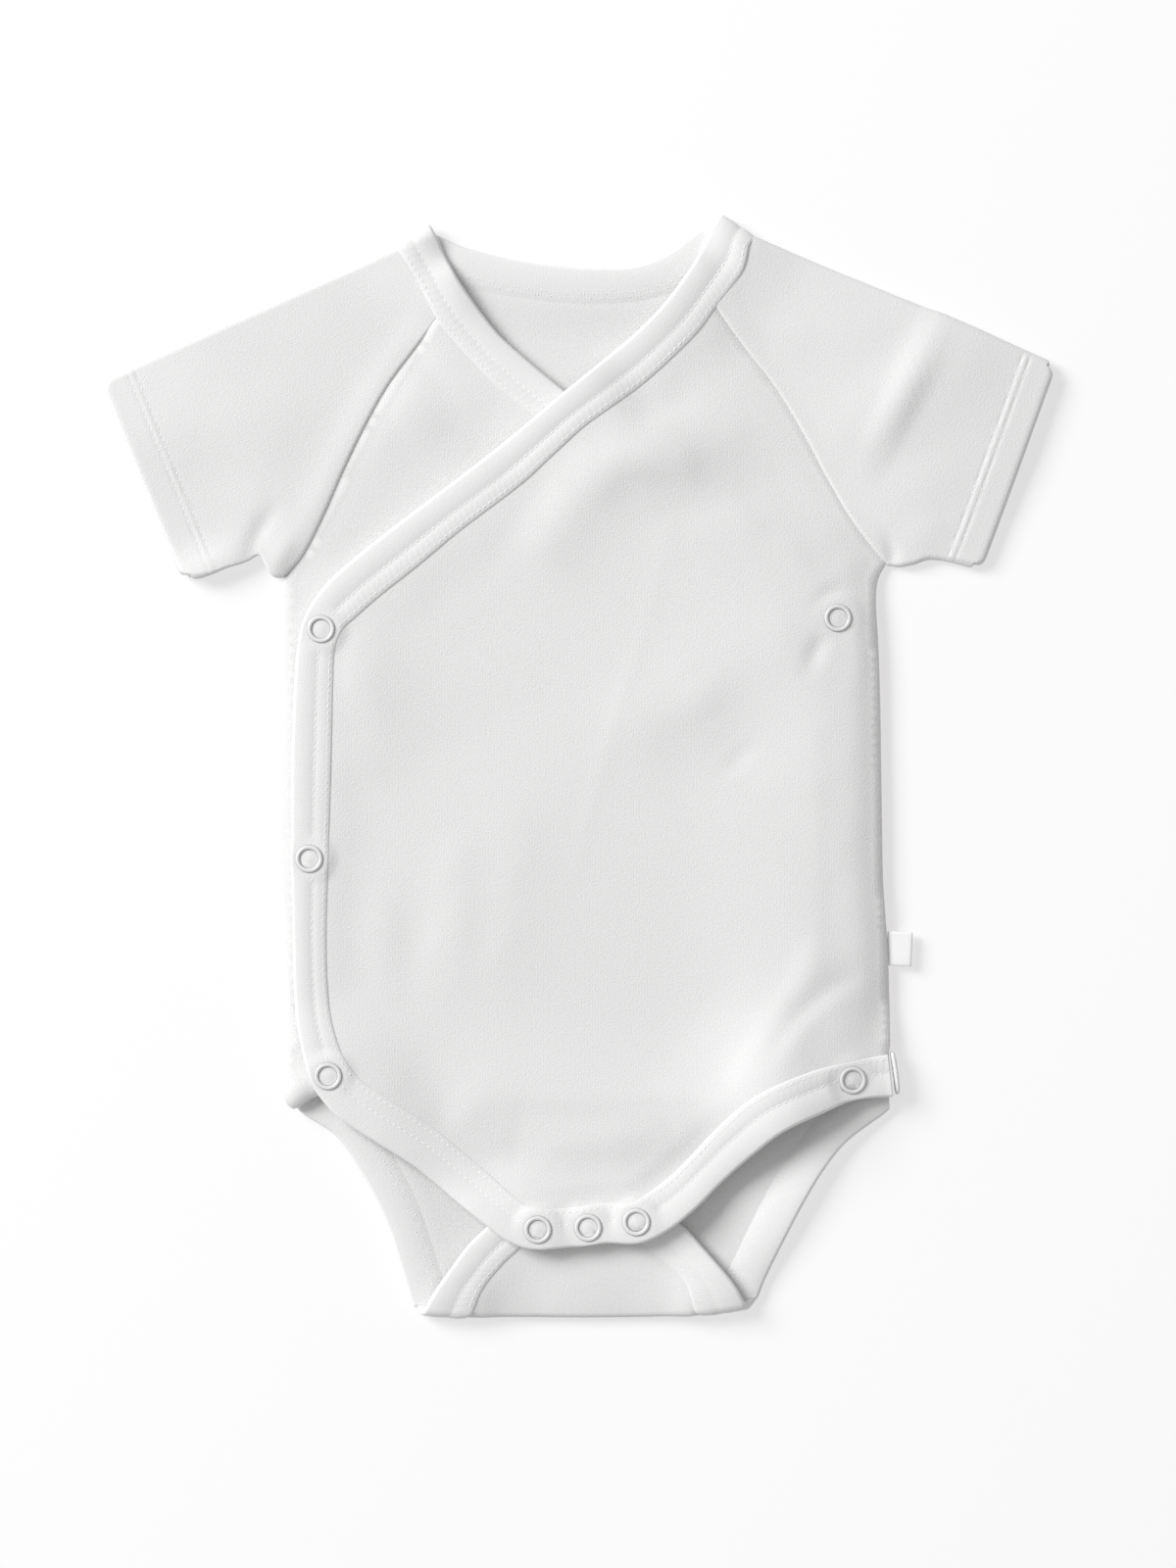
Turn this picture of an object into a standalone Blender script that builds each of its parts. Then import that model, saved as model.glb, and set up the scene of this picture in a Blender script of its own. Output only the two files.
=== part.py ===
"""A baby's short-sleeved wrap bodysuit, laid flat on its back with the front up.

The garment lies on the plane Z = 0 with its neck towards +Y and its crotch towards -Y.
Left and right are the wearer's, so the wearer's right side lies at -X.
Sizes are in millimetres here, and MM turns them into metres as the objects are made.

From the floor up lie the back panel and the sleeves' lower halves, the inner front, and the outer
front that wraps over it. Every cloth surface is the middle of its wall, and Solidify gives the wall.
"""
import bpy
import numpy as np
from math import cos, hypot, pi, sin
from mathutils import Matrix, Vector
from mathutils.geometry import delaunay_2d_cdt

MM = 0.001
WALL = 1.1                 # interlock knit of the panels and sleeves
TAPE = 1.0                 # knit tape that is folded round every raw edge
GAP = 0.3                  # between pieces that are sewn to each other
SLACK = 0.4                # more air between layers that only lie on each other
HEM_DEPTH = 11.5           # turned hem at each cuff, two walls thick
TAPE_RISE = TAPE + GAP     # how far a tape stands above and below its panel's wall
TAPE_MIDDLE = WALL / 2 + GAP + TAPE / 2
PANEL_REACH = 0.7          # share of the tape's width that the panel's edge fills
SEAM_SHIFT = GAP / 2       # each side of a seam draws back by this much
SIDE_BAND = 7.0            # breadth over which the outer front comes down to its side seam
CUFF_INSET = 3.4           # from a cuff's corner to the axis of the sleeve's fold
UNDERARM_ARCH = 4.0        # how far each sleeve's underarm edge bows up between armpit and cuff

CROTCH_FOLD = -188.9       # where the back panel turns up, at the middle
CROTCH_CORNER = 60.0       # half width over which that fold line rises
CROTCH_RISE_RIGHT = 2.7    # how far it rises at the wearer's right corner
CROTCH_RISE_LEFT = 5.5     # and at the wearer's left
CROTCH_TURN = 6.4          # length of cloth in the turn
FLAP_PUFF = 1.2            # air under the flap at its middle

SNAP_RADIUS = 4.85
SNAP_BORE = 3.1
SNAP_HEIGHT = 0.9

# Sections across a tape: where it is folded (free edge) and where it is stitched to its panel.
# free x, free y, stitch x, stitch y

# Outer front, from the wearer's left shoulder across the chest and down the right side.
WRAP_TAPE = (
    (45.9, 189.3, 58.5, 180.8),
    (43.4, 183.0, 56.6, 172.8),
    (40.8, 178.0, 52.3, 166.2),
    (38.2, 173.5, 47.4, 160.0),
    (29.8, 162.0, 40.8, 151.0),
    (19.5, 151.4, 30.5, 140.8),
    (10.0, 143.3, 20.6, 132.1),
    (0.8, 135.6, 11.0, 125.0),
    (-8.3, 128.0, 1.2, 117.8),
    (-19.0, 119.0, -9.8, 107.8),
    (-30.1, 110.0, -20.9, 97.8),
    (-51.5, 93.7, -42.0, 81.8),
    (-65.1, 83.5, -55.9, 70.2),
    (-78.7, 72.6, -69.2, 59.7),
    (-88.0, 64.0, -77.4, 52.5),
    (-94.3, 55.0, -82.5, 47.6),
    (-97.6, 44.4, -85.0, 40.6),
    (-99.1, 28.4, -85.6, 27.7),
    (-100.1, 1.2, -86.2, 1.2),
    (-100.1, -31.8, -87.2, -31.8),
    (-99.5, -60.0, -87.9, -60.0),
    (-98.8, -82.1, -86.9, -82.1),
    (-97.1, -94.0, -84.0, -94.7),
    (-94.6, -104.4, -80.6, -102.0),
    (-90.9, -112.9, -76.3, -107.6),
)

# Outer front's leg edge, from the right corner through the crotch to the left side seam.
FRONT_LEG_TAPE = (
    (-90.8, -113.2, -76.2, -107.9),
    (-84.5, -120.5, -72.6, -110.7),
    (-77.4, -125.6, -67.5, -113.9),
    (-59.0, -137.2, -50.5, -125.0),
    (-50.6, -143.8, -42.2, -131.9),
    (-42.3, -150.8, -33.8, -138.9),
    (-31.8, -159.0, -23.3, -148.0),
    (-23.6, -164.7, -17.9, -151.6),
    (-14.5, -166.8, -13.1, -152.8),
    (-0.2, -165.8, -0.9, -152.2),
    (8.7, -164.7, 8.7, -150.8),
    (20.2, -164.7, 17.5, -150.8),
    (30.1, -160.7, 23.6, -147.4),
    (40.6, -152.5, 31.5, -141.6),
    (49.8, -143.3, 39.3, -133.8),
    (60.0, -134.1, 49.5, -122.9),
    (70.9, -125.6, 61.4, -113.1),
    (84.8, -119.2, 78.4, -105.6),
    (95.4, -115.1, 92.0, -102.2),
    (107.4, -114.1, 106.4, -99.5),
)

# Inner front, from the right shoulder across the chest and down the left side, where it is hidden.
INNER_TAPE = (
    (-49.3, 185.4, -62.2, 178.6),
    (-47.6, 180.2, -59.5, 174.4),
    (-44.4, 173.6, -55.0, 167.0),
    (-40.6, 167.3, -49.5, 155.9),
    (-34.6, 158.8, -43.6, 148.4),
    (-27.6, 150.2, -37.6, 141.6),
    (-19.2, 142.6, -29.4, 133.1),
    (-8.3, 133.5, -17.2, 122.9),
    (10.0, 119.2, 1.9, 108.3),
    (31.8, 102.9, 23.3, 91.0),
    (53.2, 85.9, 44.4, 74.0),
    (72.9, 70.9, 62.7, 60.4),
    (86.0, 59.7, 75.7, 51.2),
    (92.4, 48.5, 80.0, 44.0),
    (94.4, 28.4, 80.6, 27.7),
    (94.8, -29.4, 81.0, -29.4),
    (95.2, -58.0, 81.6, -57.0),
    (94.2, -77.0, 80.8, -74.0),
    (90.8, -93.0, 77.6, -88.5),
    (86.0, -105.5, 73.0, -100.3),
    (82.2, -114.0, 69.2, -108.6),
)

# Back neck, from the right shoulder to the left.
NECK_TAPE = (
    (-49.3, 185.4, -62.2, 178.6),
    (-47.8, 184.6, -58.5, 173.5),
    (-45.7, 183.6, -54.2, 171.0),
    (-43.4, 182.4, -50.2, 169.5),
    (-37.9, 180.4, -43.0, 166.8),
    (-24.3, 177.0, -26.4, 163.4),
    (-10.7, 174.9, -11.7, 161.3),
    (2.9, 173.9, 2.9, 160.3),
    (16.5, 174.2, 18.2, 161.0),
    (25.0, 176.3, 29.4, 163.4),
    (32.1, 180.0, 38.9, 167.5),
    (40.1, 186.2, 47.1, 173.9),
    (42.0, 187.3, 50.8, 176.2),
    (44.0, 188.4, 54.6, 178.6),
    (45.9, 189.3, 58.5, 180.8),
)
NECK_CORNER = 3            # section where a raglan seam meets each tape, counted from a shoulder

# Back leg edges, from the side seam to the crotch fold, then up the flap.
LEG_TAPE_RIGHT = (
    (-101.8, -117.4, -102.6, -104.6),
    (-92.7, -122.6, -87.9, -109.7),
    (-85.2, -127.7, -76.7, -117.1),
    (-78.7, -136.5, -67.5, -128.7),
    (-72.2, -147.7, -60.4, -140.9),
    (-67.2, -158.6, -54.6, -153.2),
    (-63.4, -170.2, -50.2, -166.1),
    (-60.7, -179.0, -46.8, -177.0),
    (-58.3, None, -43.4, None),
)
FLAP_TAPE_RIGHT = (
    (-53.8, None, -37.0, None),
    (-50.5, -181.1, -34.6, -182.2),
    (-46.1, -174.9, -31.1, -177.0),
    (-39.6, -166.1, -25.7, -171.0),
    (-33.8, -160.3, -20.9, -166.5),
    (-30.0, -157.0, -16.6, -161.0),
    (-28.1, -155.2, -14.1, -155.2),
)
LEG_TAPE_LEFT = (
    (107.4, -119.4, 106.8, -106.3),
    (100.8, -123.9, 95.4, -111.4),
    (92.0, -130.7, 83.1, -120.5),
    (84.5, -140.2, 72.9, -132.8),
    (77.7, -151.5, 65.5, -145.4),
    (71.9, -162.7, 59.3, -157.2),
    (67.2, -172.2, 53.9, -168.1),
    (64.3, -178.6, 50.0, -176.4),
    (62.4, None, 46.8, None),
)
FLAP_TAPE_LEFT = (
    (57.6, None, 40.0, None),
    (54.6, -179.4, 37.6, -179.8),
    (50.5, -174.2, 34.5, -175.6),
    (43.0, -165.8, 28.7, -170.6),
    (37.6, -159.9, 23.3, -166.0),
    (34.0, -157.0, 19.4, -160.6),
    (32.1, -155.2, 17.9, -155.2),
)

# Raglan seams on the front, neck to armpit, and the side seams, armpit to leg.
# x, y
RAGLAN_RIGHT = (
    (-49.5, 155.9), (-58.2, 144.8), (-66.8, 133.1), (-74.6, 119.3),
    (-82.1, 103.9), (-88.9, 88.5), (-96.0, 74.6), (-102.0, 67.5),
)
RAGLAN_LEFT = (
    (47.4, 160.0), (57.4, 146.2), (68.0, 132.6), (77.7, 116.8),
    (86.0, 101.2), (93.6, 88.0), (101.0, 77.8), (106.4, 71.4),
)
SIDE_RIGHT = (
    (-102.0, 67.5), (-102.4, 60.4), (-102.5, 27.7), (-103.2, -0.2), (-103.2, -34.9),
    (-102.2, -53.9), (-100.9, -88.6), (-101.3, -98.4), (-102.6, -104.6),
)
SIDE_LEFT = (
    (106.4, 71.4), (103.2, 65.5), (102.4, 57.0), (103.2, 42.7), (103.9, 21.6), (104.2, 1.0),
    (104.5, -19.0), (104.9, -39.6), (106.3, -60.0), (107.1, -81.1), (107.2, -96.0),
)
BACK_RAGLAN_BOW = 2.5      # how far the hidden back seams curve outwards

# Inner front's hem, from the left side back to the right side seam.
# x, y
INNER_HEM = (
    (66.0, -115.4), (52.0, -116.0), (34.0, -116.2), (0.0, -116.2), (-30.0, -115.2), (-58.3, -113.7),
    (-80.0, -112.6), (-90.6, -113.4), (-96.4, -115.9), (-100.4, -115.7), (-102.4, -111.2),
)

# Cuffs, from the top fold to the underarm.
CUFF_RIGHT = ((-166.1, 135.8), (-136.2, 63.4))
CUFF_LEFT = ((165.4, 141.3), (138.2, 66.5))

# Soft ridges of the outer front: ends, half width and height.
# x, y, x, y, width, height
RIDGES = (
    (-10.0, 78.0, 6.0, 101.0, 9.0, 2.2),
    (6.0, 101.0, 48.0, 115.0, 9.0, 2.2),
    (20.0, 16.0, 66.0, 42.0, 13.0, 1.8),
    (-76.0, 44.0, -70.0, 6.0, 9.0, 1.4),
    (-34.0, -112.0, 34.0, -116.0, 12.0, 2.4),
    (74.0, -96.0, 96.0, -78.0, 4.0, 1.8),
    (56.0, -104.0, 78.0, -66.0, 6.0, 1.8),
    (-44.0, -28.0, -50.0, -72.0, 7.0, 1.2),
    (-22.0, -20.0, -28.0, -70.0, 8.0, 1.2),
)
# Where the outer front's leg edge stands open, off the back.
LEG_LIFTS = (
    (44.0, -136.0, 70.0, -117.0, 16.0, 2.2),
    (-64.0, -128.0, -46.0, -140.0, 12.0, 1.0),
)
# Soft ridges of the two sleeves.
SLEEVE_RIDGES = (
    (98.0, 118.0, 136.0, 146.0, 8.0, 1.3),
    (112.0, 96.0, 150.0, 112.0, 8.0, 1.0),
    (-96.0, 118.0, -140.0, 116.0, 10.0, 0.9),
)

# Snaps: name, x, y
SNAPS = (
    ("snap_side_top", -89.6, 48.1),
    ("snap_side_middle", -93.7, -31.5),
    ("snap_side_bottom", -87.0, -106.6),
    ("snap_left_top", 89.4, 51.9),
    ("snap_left_bottom", 94.4, -108.0),
    ("snap_crotch_right", -14.5, -159.6),
    ("snap_crotch_middle", 2.9, -159.0),
    ("snap_crotch_left", 19.6, -157.0),
)

LABEL_SIZE = (8.6, 11.6, 1.0)
LABEL_CENTRE = (111.1, -62.8, 1.4)
LABEL_TILT = -0.03
TAB_SIZE = (2.4, 14.6, 1.6)
TAB_CENTRE = (109.9, -105.8, 2.6)
TAB_TILT = 0.13


# ---- heights over the floor -------------------------------------------------------------------

CELL = 1.5
GRID_X, GRID_Y = np.meshgrid(np.arange(-180, 180 + CELL, CELL), np.arange(-204, 204 + CELL, CELL))
CELLS = np.arange(GRID_X.size).reshape(GRID_X.shape)


class Heights:
    """A height over the floor at each point of a square grid."""

    def __init__(self, values):
        self.values = np.array(values, float) + np.zeros(GRID_X.shape)

    def at(self, x, y):
        u = (x - GRID_X[0, 0]) / CELL
        v = (y - GRID_Y[0, 0]) / CELL
        i, j = int(u), int(v)
        u, v = u - i, v - j
        near = self.values[j:j + 2, i:i + 2]
        south = near[0, 0] * (1 - u) + near[0, 1] * u
        north = near[1, 0] * (1 - u) + near[1, 1] * u
        return south * (1 - v) + north * v


def cells_in(triangle):
    """The grid points inside a flat triangle, and the weights of its three corners there."""
    (ax, ay), (bx, by), (cx, cy) = triangle
    area = (bx - ax) * (cy - ay) - (cx - ax) * (by - ay)
    if abs(area) < 1e-6:
        return np.zeros(0, int), np.zeros((0, 3))
    west, east = min(ax, bx, cx), max(ax, bx, cx)
    south, north = min(ay, by, cy), max(ay, by, cy)
    columns = slice(int((west - GRID_X[0, 0]) / CELL), int((east - GRID_X[0, 0]) / CELL) + 2)
    rows = slice(int((south - GRID_Y[0, 0]) / CELL), int((north - GRID_Y[0, 0]) / CELL) + 2)
    x, y = GRID_X[rows, columns], GRID_Y[rows, columns]
    second = ((x - ax) * (cy - ay) - (cx - ax) * (y - ay)) / area
    third = ((bx - ax) * (y - ay) - (x - ax) * (by - ay)) / area
    weights = np.stack([1 - second - third, second, third], axis=-1)
    within = weights.min(axis=-1) > -1e-6
    return CELLS[rows, columns][within], weights[within]


def highest(points, faces):
    """The top of a surface over each grid point, and a low number beside it."""
    result = np.full(GRID_X.size, -99.0)
    for face in faces:
        for k in range(1, len(face) - 1):
            corners = [points[face[0]], points[face[k]], points[face[k + 1]]]
            cells, weights = cells_in([(p[0], p[1]) for p in corners])
            result[cells] = np.maximum(result[cells], weights @ np.array([p[2] for p in corners]))
    return result.reshape(GRID_X.shape)


class Layer:
    """A cut panel laid over what is below it, with the tapes along its edges.

    Its corners start at a given height and are raised until neither the panel nor a tape dips
    below the floor that they must clear.
    """

    def __init__(self, cut, tapes, start, floor):
        self.points, self.faces = np.array(cut[0]), cut[1]
        self.heights = np.array([start.at(x, y) for x, y in self.points])
        self.parts = []
        for face in self.faces:
            self.take([self.points[k] for k in face], [*face, face[0]], np.eye(3, 4), 0.0)
        beyond = 1 / PANEL_REACH
        for rows in tapes:
            for a, b in zip(rows, rows[1:]):
                four = [self.nearest(*point) for point in (stitch(a), inner(a), stitch(b), inner(b))]
                seam_a, free_a = (1, 0, 0, 0), (1 - beyond, beyond, 0, 0)
                seam_b, free_b = (0, 0, 1, 0), (0, 0, 1 - beyond, beyond)
                self.take([stitch(a), a[:2], b[:2]], four, np.array([seam_a, free_a, free_b]), TAPE_RISE)
                self.take([stitch(a), b[:2], stitch(b)], four, np.array([seam_a, free_b, seam_b]), TAPE_RISE)
        cells, corners, weights, rise = (np.concatenate(part) for part in zip(*self.parts))
        need = draped_over(floor).ravel()[cells] + GAP + WALL / 2 + rise
        for _ in range(60):
            lack = need - (weights * self.heights[corners]).sum(axis=1)
            if lack.max() < 0.01:
                break
            push = np.maximum(lack, 0) / (weights ** 2).sum(axis=1)
            lift = np.zeros(len(self.heights))
            np.maximum.at(lift, corners, push[:, None] * weights)
            self.heights += lift

    def take(self, triangle, corners, share, rise):
        cells, weights = cells_in(triangle)
        count = len(cells)
        self.parts.append((cells, np.tile(corners, (count, 1)).reshape(count, 4), weights @ share,
                           np.full(count, rise)))

    def nearest(self, x, y):
        return int(np.hypot(self.points[:, 0] - x, self.points[:, 1] - y).argmin())

    def at(self, x, y):
        """Height at the corner nearest to a point."""
        return self.heights[self.nearest(x, y)]

    def surface(self):
        return [Vector((x, y, z)) for (x, y), z in zip(self.points, self.heights)]


def moved(values, steps, axis):
    """The grid moved by whole cells, its border repeated."""
    padded = np.pad(values, abs(steps), mode="edge")
    size = values.shape
    start = [abs(steps), abs(steps)]
    start[axis] += steps
    return padded[start[0]:start[0] + size[0], start[1]:start[1] + size[1]]


def draped_over(values, reach=1):
    """The highest of these heights within reach of each grid point."""
    for axis in (0, 1):
        values = np.max([moved(values, k, axis) for k in range(-reach, reach + 1)], axis=0)
    return values


def draped(values, reach=2):
    """Cloth over these heights: never below them, and soft where they step."""
    values = draped_over(values, reach)
    weights = [reach + 1 - abs(k) for k in range(-reach, reach + 1)]
    for axis in (0, 1):
        spread = [moved(values, k, axis) for k in range(-reach, reach + 1)]
        values = np.average(spread, axis=0, weights=weights)
    return values


def inside(outline):
    """Which grid points lie inside a closed outline."""
    result = np.zeros(GRID_X.shape, bool)
    for (ax, ay), (bx, by) in zip(outline, outline[1:] + outline[:1]):
        if ay == by:
            continue
        crosses = (ay > GRID_Y) != (by > GRID_Y)
        result ^= crosses & (GRID_X < (bx - ax) * (GRID_Y - ay) / (by - ay) + ax)
    return result


def distance(points):
    """How far each grid point lies from a line through these points."""
    best = np.full(GRID_X.shape, 1e6)
    for (ax, ay), (bx, by) in zip(points, points[1:]):
        dx, dy = bx - ax, by - ay
        t = np.clip(((GRID_X - ax) * dx + (GRID_Y - ay) * dy) / (dx * dx + dy * dy), 0, 1)
        best = np.minimum(best, np.hypot(GRID_X - ax - t * dx, GRID_Y - ay - t * dy))
    return best


def smooth(t):
    """0 to 1 with a soft start and end."""
    t = np.clip(t, 0, 1)
    return t * t * (3 - 2 * t)


def ridges(table):
    """Soft folds, each a bump along a line."""
    total = np.zeros(GRID_X.shape)
    for ax, ay, bx, by, width, height in table:
        total = np.maximum(total, height * np.exp(-(distance(((ax, ay), (bx, by))) / width) ** 2))
    return total


def strip(rows):
    """The outline of a tape."""
    return [(row[0], row[1]) for row in rows] + [(row[2], row[3]) for row in reversed(rows)]


def strips(*tapes):
    """Which grid points lie under any of these tapes."""
    return np.any([inside(strip(rows)) for rows in tapes], axis=0)


# ---- lines and sections -----------------------------------------------------------------------

def between(a, b, t):
    return tuple(p + (q - p) * t for p, q in zip(a, b))


def stitch(row):
    return row[2:4]


def inner(row):
    """Where a panel's edge ends inside its tape."""
    return between(row[2:4], row[0:2], PANEL_REACH)


def finer(rows, pieces):
    """The same line with this many steps for each of its own, on a smooth curve."""
    result = []
    for i in range(len(rows) - 1):
        before, a, b, after = rows[max(i - 1, 0)], rows[i], rows[i + 1], rows[min(i + 2, len(rows) - 1)]
        for k in range(pieces):
            t = k / pieces
            result.append(tuple(
                0.5 * (2 * q + (r - p) * t + (2 * p - 5 * q + 4 * r - s) * t ** 2
                       + (3 * q - p - 3 * r + s) * t ** 3)
                for p, q, r, s in zip(before, a, b, after)))
    return result + [tuple(rows[-1])]


def beside(points, shift):
    """A line's points moved sideways, to the left of its direction."""
    result = []
    for i, (x, y) in enumerate(points):
        ax, ay = points[max(i - 1, 0)]
        bx, by = points[min(i + 1, len(points) - 1)]
        length = hypot(bx - ax, by - ay)
        result.append((x - (by - ay) / length * shift, y + (bx - ax) / length * shift))
    return result


def bowed(a, b, bow, count):
    """Points from a to b on a shallow curve that swells to the left."""
    length = hypot(b[0] - a[0], b[1] - a[1])
    points = []
    for k in range(count):
        x, y = between(a, b, k / (count - 1))
        swell = bow * sin(pi * k / (count - 1))
        points.append((x - (b[1] - a[1]) / length * swell, y + (b[0] - a[0]) / length * swell))
    return points


def fold_line(x):
    """Y of the crotch fold's axis."""
    rise = CROTCH_RISE_RIGHT if x < 0 else CROTCH_RISE_LEFT
    return CROTCH_FOLD + rise * min(abs(x - 2) / CROTCH_CORNER, 1.1) ** 3


def on_floor(rows):
    """Sections with the fold line's Y where their own is left open."""
    return [(row[0], fold_line(row[0]), row[2], fold_line(row[2])) if row[1] is None else row
            for row in rows]


def fold_corner(below, above):
    """A patch round the crotch fold's corner, where one tape lies over the other."""
    free, seam = below[:2], above[2:]
    return [(free[0], free[1] - 6), (seam[0], seam[1] - 6), (seam[0], seam[1] + 5), (free[0], free[1] + 5)]


def leg_sections(leg, flap):
    """A back leg tape in the back panel's own flat coordinates, round the crotch fold."""
    rows = on_floor(leg)
    first, last = leg[-1], flap[0]
    for k in range(1, 5):
        free, seam = (first[i] + (last[i] - first[i]) * k / 4 for i in (0, 2))
        turned = CROTCH_TURN * k / 4
        rows.append((free, fold_line(free) - turned, seam, fold_line(seam) - turned))
    for free_x, free_y, seam_x, seam_y in flap[1:]:
        rows.append((free_x, unfolded(free_x, free_y), seam_x, unfolded(seam_x, seam_y)))
    return rows


def unfolded(x, y):
    """A point of the flap, in the flat coordinates of the back panel."""
    return 2 * fold_line(x) - CROTCH_TURN - y


# ---- where a point of cloth goes: flat point and distance out of the cloth to a point in space ---

def over(heights):
    """Cloth with its outer side up."""
    return lambda x, y, out: Vector((x, y, heights.at(x, y) + out))


def under(heights):
    """Cloth with its outer side on the floor."""
    return lambda x, y, out: Vector((x, y, heights.at(x, y) - out))


def turning(angle, low, high, outward):
    """Cloth on its way round an edge: angle 0 at the upper layer and pi at the lower."""
    def place(x, y, out):
        top, bottom = high.at(x, y), low.at(x, y)
        reach = (top - bottom) / 2 + out
        side, rise = reach * sin(angle), reach * cos(angle)
        return Vector((x + outward[0] * side, y + outward[1] * side, (top + bottom) / 2 + rise))
    return place


def on_back(low, flap):
    """Cloth of the back panel, from its flat coordinates."""
    def place(x, v, out):
        fold = fold_line(x)
        if v >= fold - 1e-6:
            return under(low)(x, v, out)
        if v <= fold - CROTCH_TURN + 1e-6:
            return over(flap)(x, 2 * fold - CROTCH_TURN - v, out)
        angle = pi * (1 - (fold - v) / CROTCH_TURN)
        return turning(angle, low, flap, (0, -1))(x, fold, out)
    return place


# ---- objects ----------------------------------------------------------------------------------

def start():
    for item in list(bpy.data.objects):
        bpy.data.objects.remove(item)
    home = bpy.data.collections.new("baby_onesie")
    bpy.context.scene.collection.children.link(home)
    return home


def material(name, colour, roughness, metallic=0.0):
    item = bpy.data.materials.new(name)
    item.use_nodes = True
    shader = item.node_tree.nodes["Principled BSDF"]
    shader.inputs["Base Color"].default_value = (*colour, 1)
    shader.inputs["Roughness"].default_value = roughness
    shader.inputs["Metallic"].default_value = metallic
    return item


def add(home, name, points, faces, finish):
    mesh = bpy.data.meshes.new(name)
    mesh.from_pydata([Vector(p) * MM for p in points], [], faces)
    mesh.materials.append(finish)
    mesh.shade_smooth()
    item = bpy.data.objects.new(name, mesh)
    home.objects.link(item)
    return item


def wall(item, thickness, offset=0.0):
    """Gives a surface its wall, half to each side unless offset says otherwise."""
    modifier = item.modifiers.new("wall", "SOLIDIFY")
    modifier.thickness = thickness * MM
    modifier.offset = offset
    modifier.use_even_offset = True
    return modifier


def cut(outline, lines, step):
    """A panel's outline filled with corners, also along these lines: flat points and faces."""
    points = [Vector(p) for p in outline]
    edges = [(k, (k + 1) % len(outline)) for k in range(len(outline))]
    for line in lines:
        first = len(points)
        points += [Vector(p) for p in line]
        edges += [(first + k, first + k + 1) for k in range(len(line) - 1)]
    taken = np.array([tuple(points[a].lerp(points[b], t)) for a, b in edges for t in (0, 0.5, 1)])
    low, high = taken.min(axis=0), taken.max(axis=0)
    row = 0
    y = low[1]
    while y < high[1]:
        x = low[0] + (row % 2) * step / 2
        while x < high[0]:
            if np.hypot(taken[:, 0] - x, taken[:, 1] - y).min() > 0.62 * step:
                points.append(Vector((x, y)))
            x += step
        y += step * 0.87
        row += 1
    corners, _, faces, *_ = delaunay_2d_cdt(points, edges, [list(range(len(outline)))], 1, 1e-4)
    used = sorted({k for face in faces for k in face})
    number = {k: n for n, k in enumerate(used)}
    return [(corners[k].x, corners[k].y) for k in used], [[number[k] for k in face] for face in faces]


def pairs(rows):
    return [(stitch(row), inner(row)) for row in rows]


def seams(ends):
    """Lines that a panel shares with its tape: along the stitching, across it and slantwise."""
    lines = [[near for near, _ in ends]]
    lines += [[near, far] for near, far in ends]
    lines += [[a[0], b[1]] for a, b in zip(ends, ends[1:])]
    return lines


def panel(home, name, points, faces, finish):
    item = add(home, name, points, faces, finish)
    wall(item, WALL)
    return item


def tape_surface(sections):
    """The middle of a tape folded round an edge. Each section is its row and where its cloth goes."""
    points = []
    for row, place in sections:
        seam, edge = stitch(row), inner(row)
        width = hypot(row[0] - row[2], row[1] - row[3])
        bend = width - TAPE / 2 - TAPE_MIDDLE
        profile = [(0, TAPE_MIDDLE), (bend * 0.5, TAPE_MIDDLE)]
        for k in range(5):
            angle = pi / 2 - pi * k / 4
            profile.append((bend + TAPE_MIDDLE * cos(angle), TAPE_MIDDLE * sin(angle)))
        profile += [(bend * 0.5, -TAPE_MIDDLE), (0, -TAPE_MIDDLE)]
        for along, out in profile:
            near, far = place(*seam, out), place(*edge, out)
            points.append(near + (far - near) * (along / (width * PANEL_REACH)))
    size = len(points) // len(sections)
    faces = []
    for k in range(len(sections) - 1):
        for i in range(size - 1):
            a, b = k * size + i, (k + 1) * size + i
            if i < size // 2:
                faces += [(a, a + 1, b + 1), (a, b + 1, b)]
            else:
                faces += [(a, a + 1, b), (a + 1, b + 1, b)]
    return points, faces


def tape(home, name, sections, finish):
    item = add(home, name, *tape_surface(sections), finish)
    wall(item, TAPE)
    return item


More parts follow.
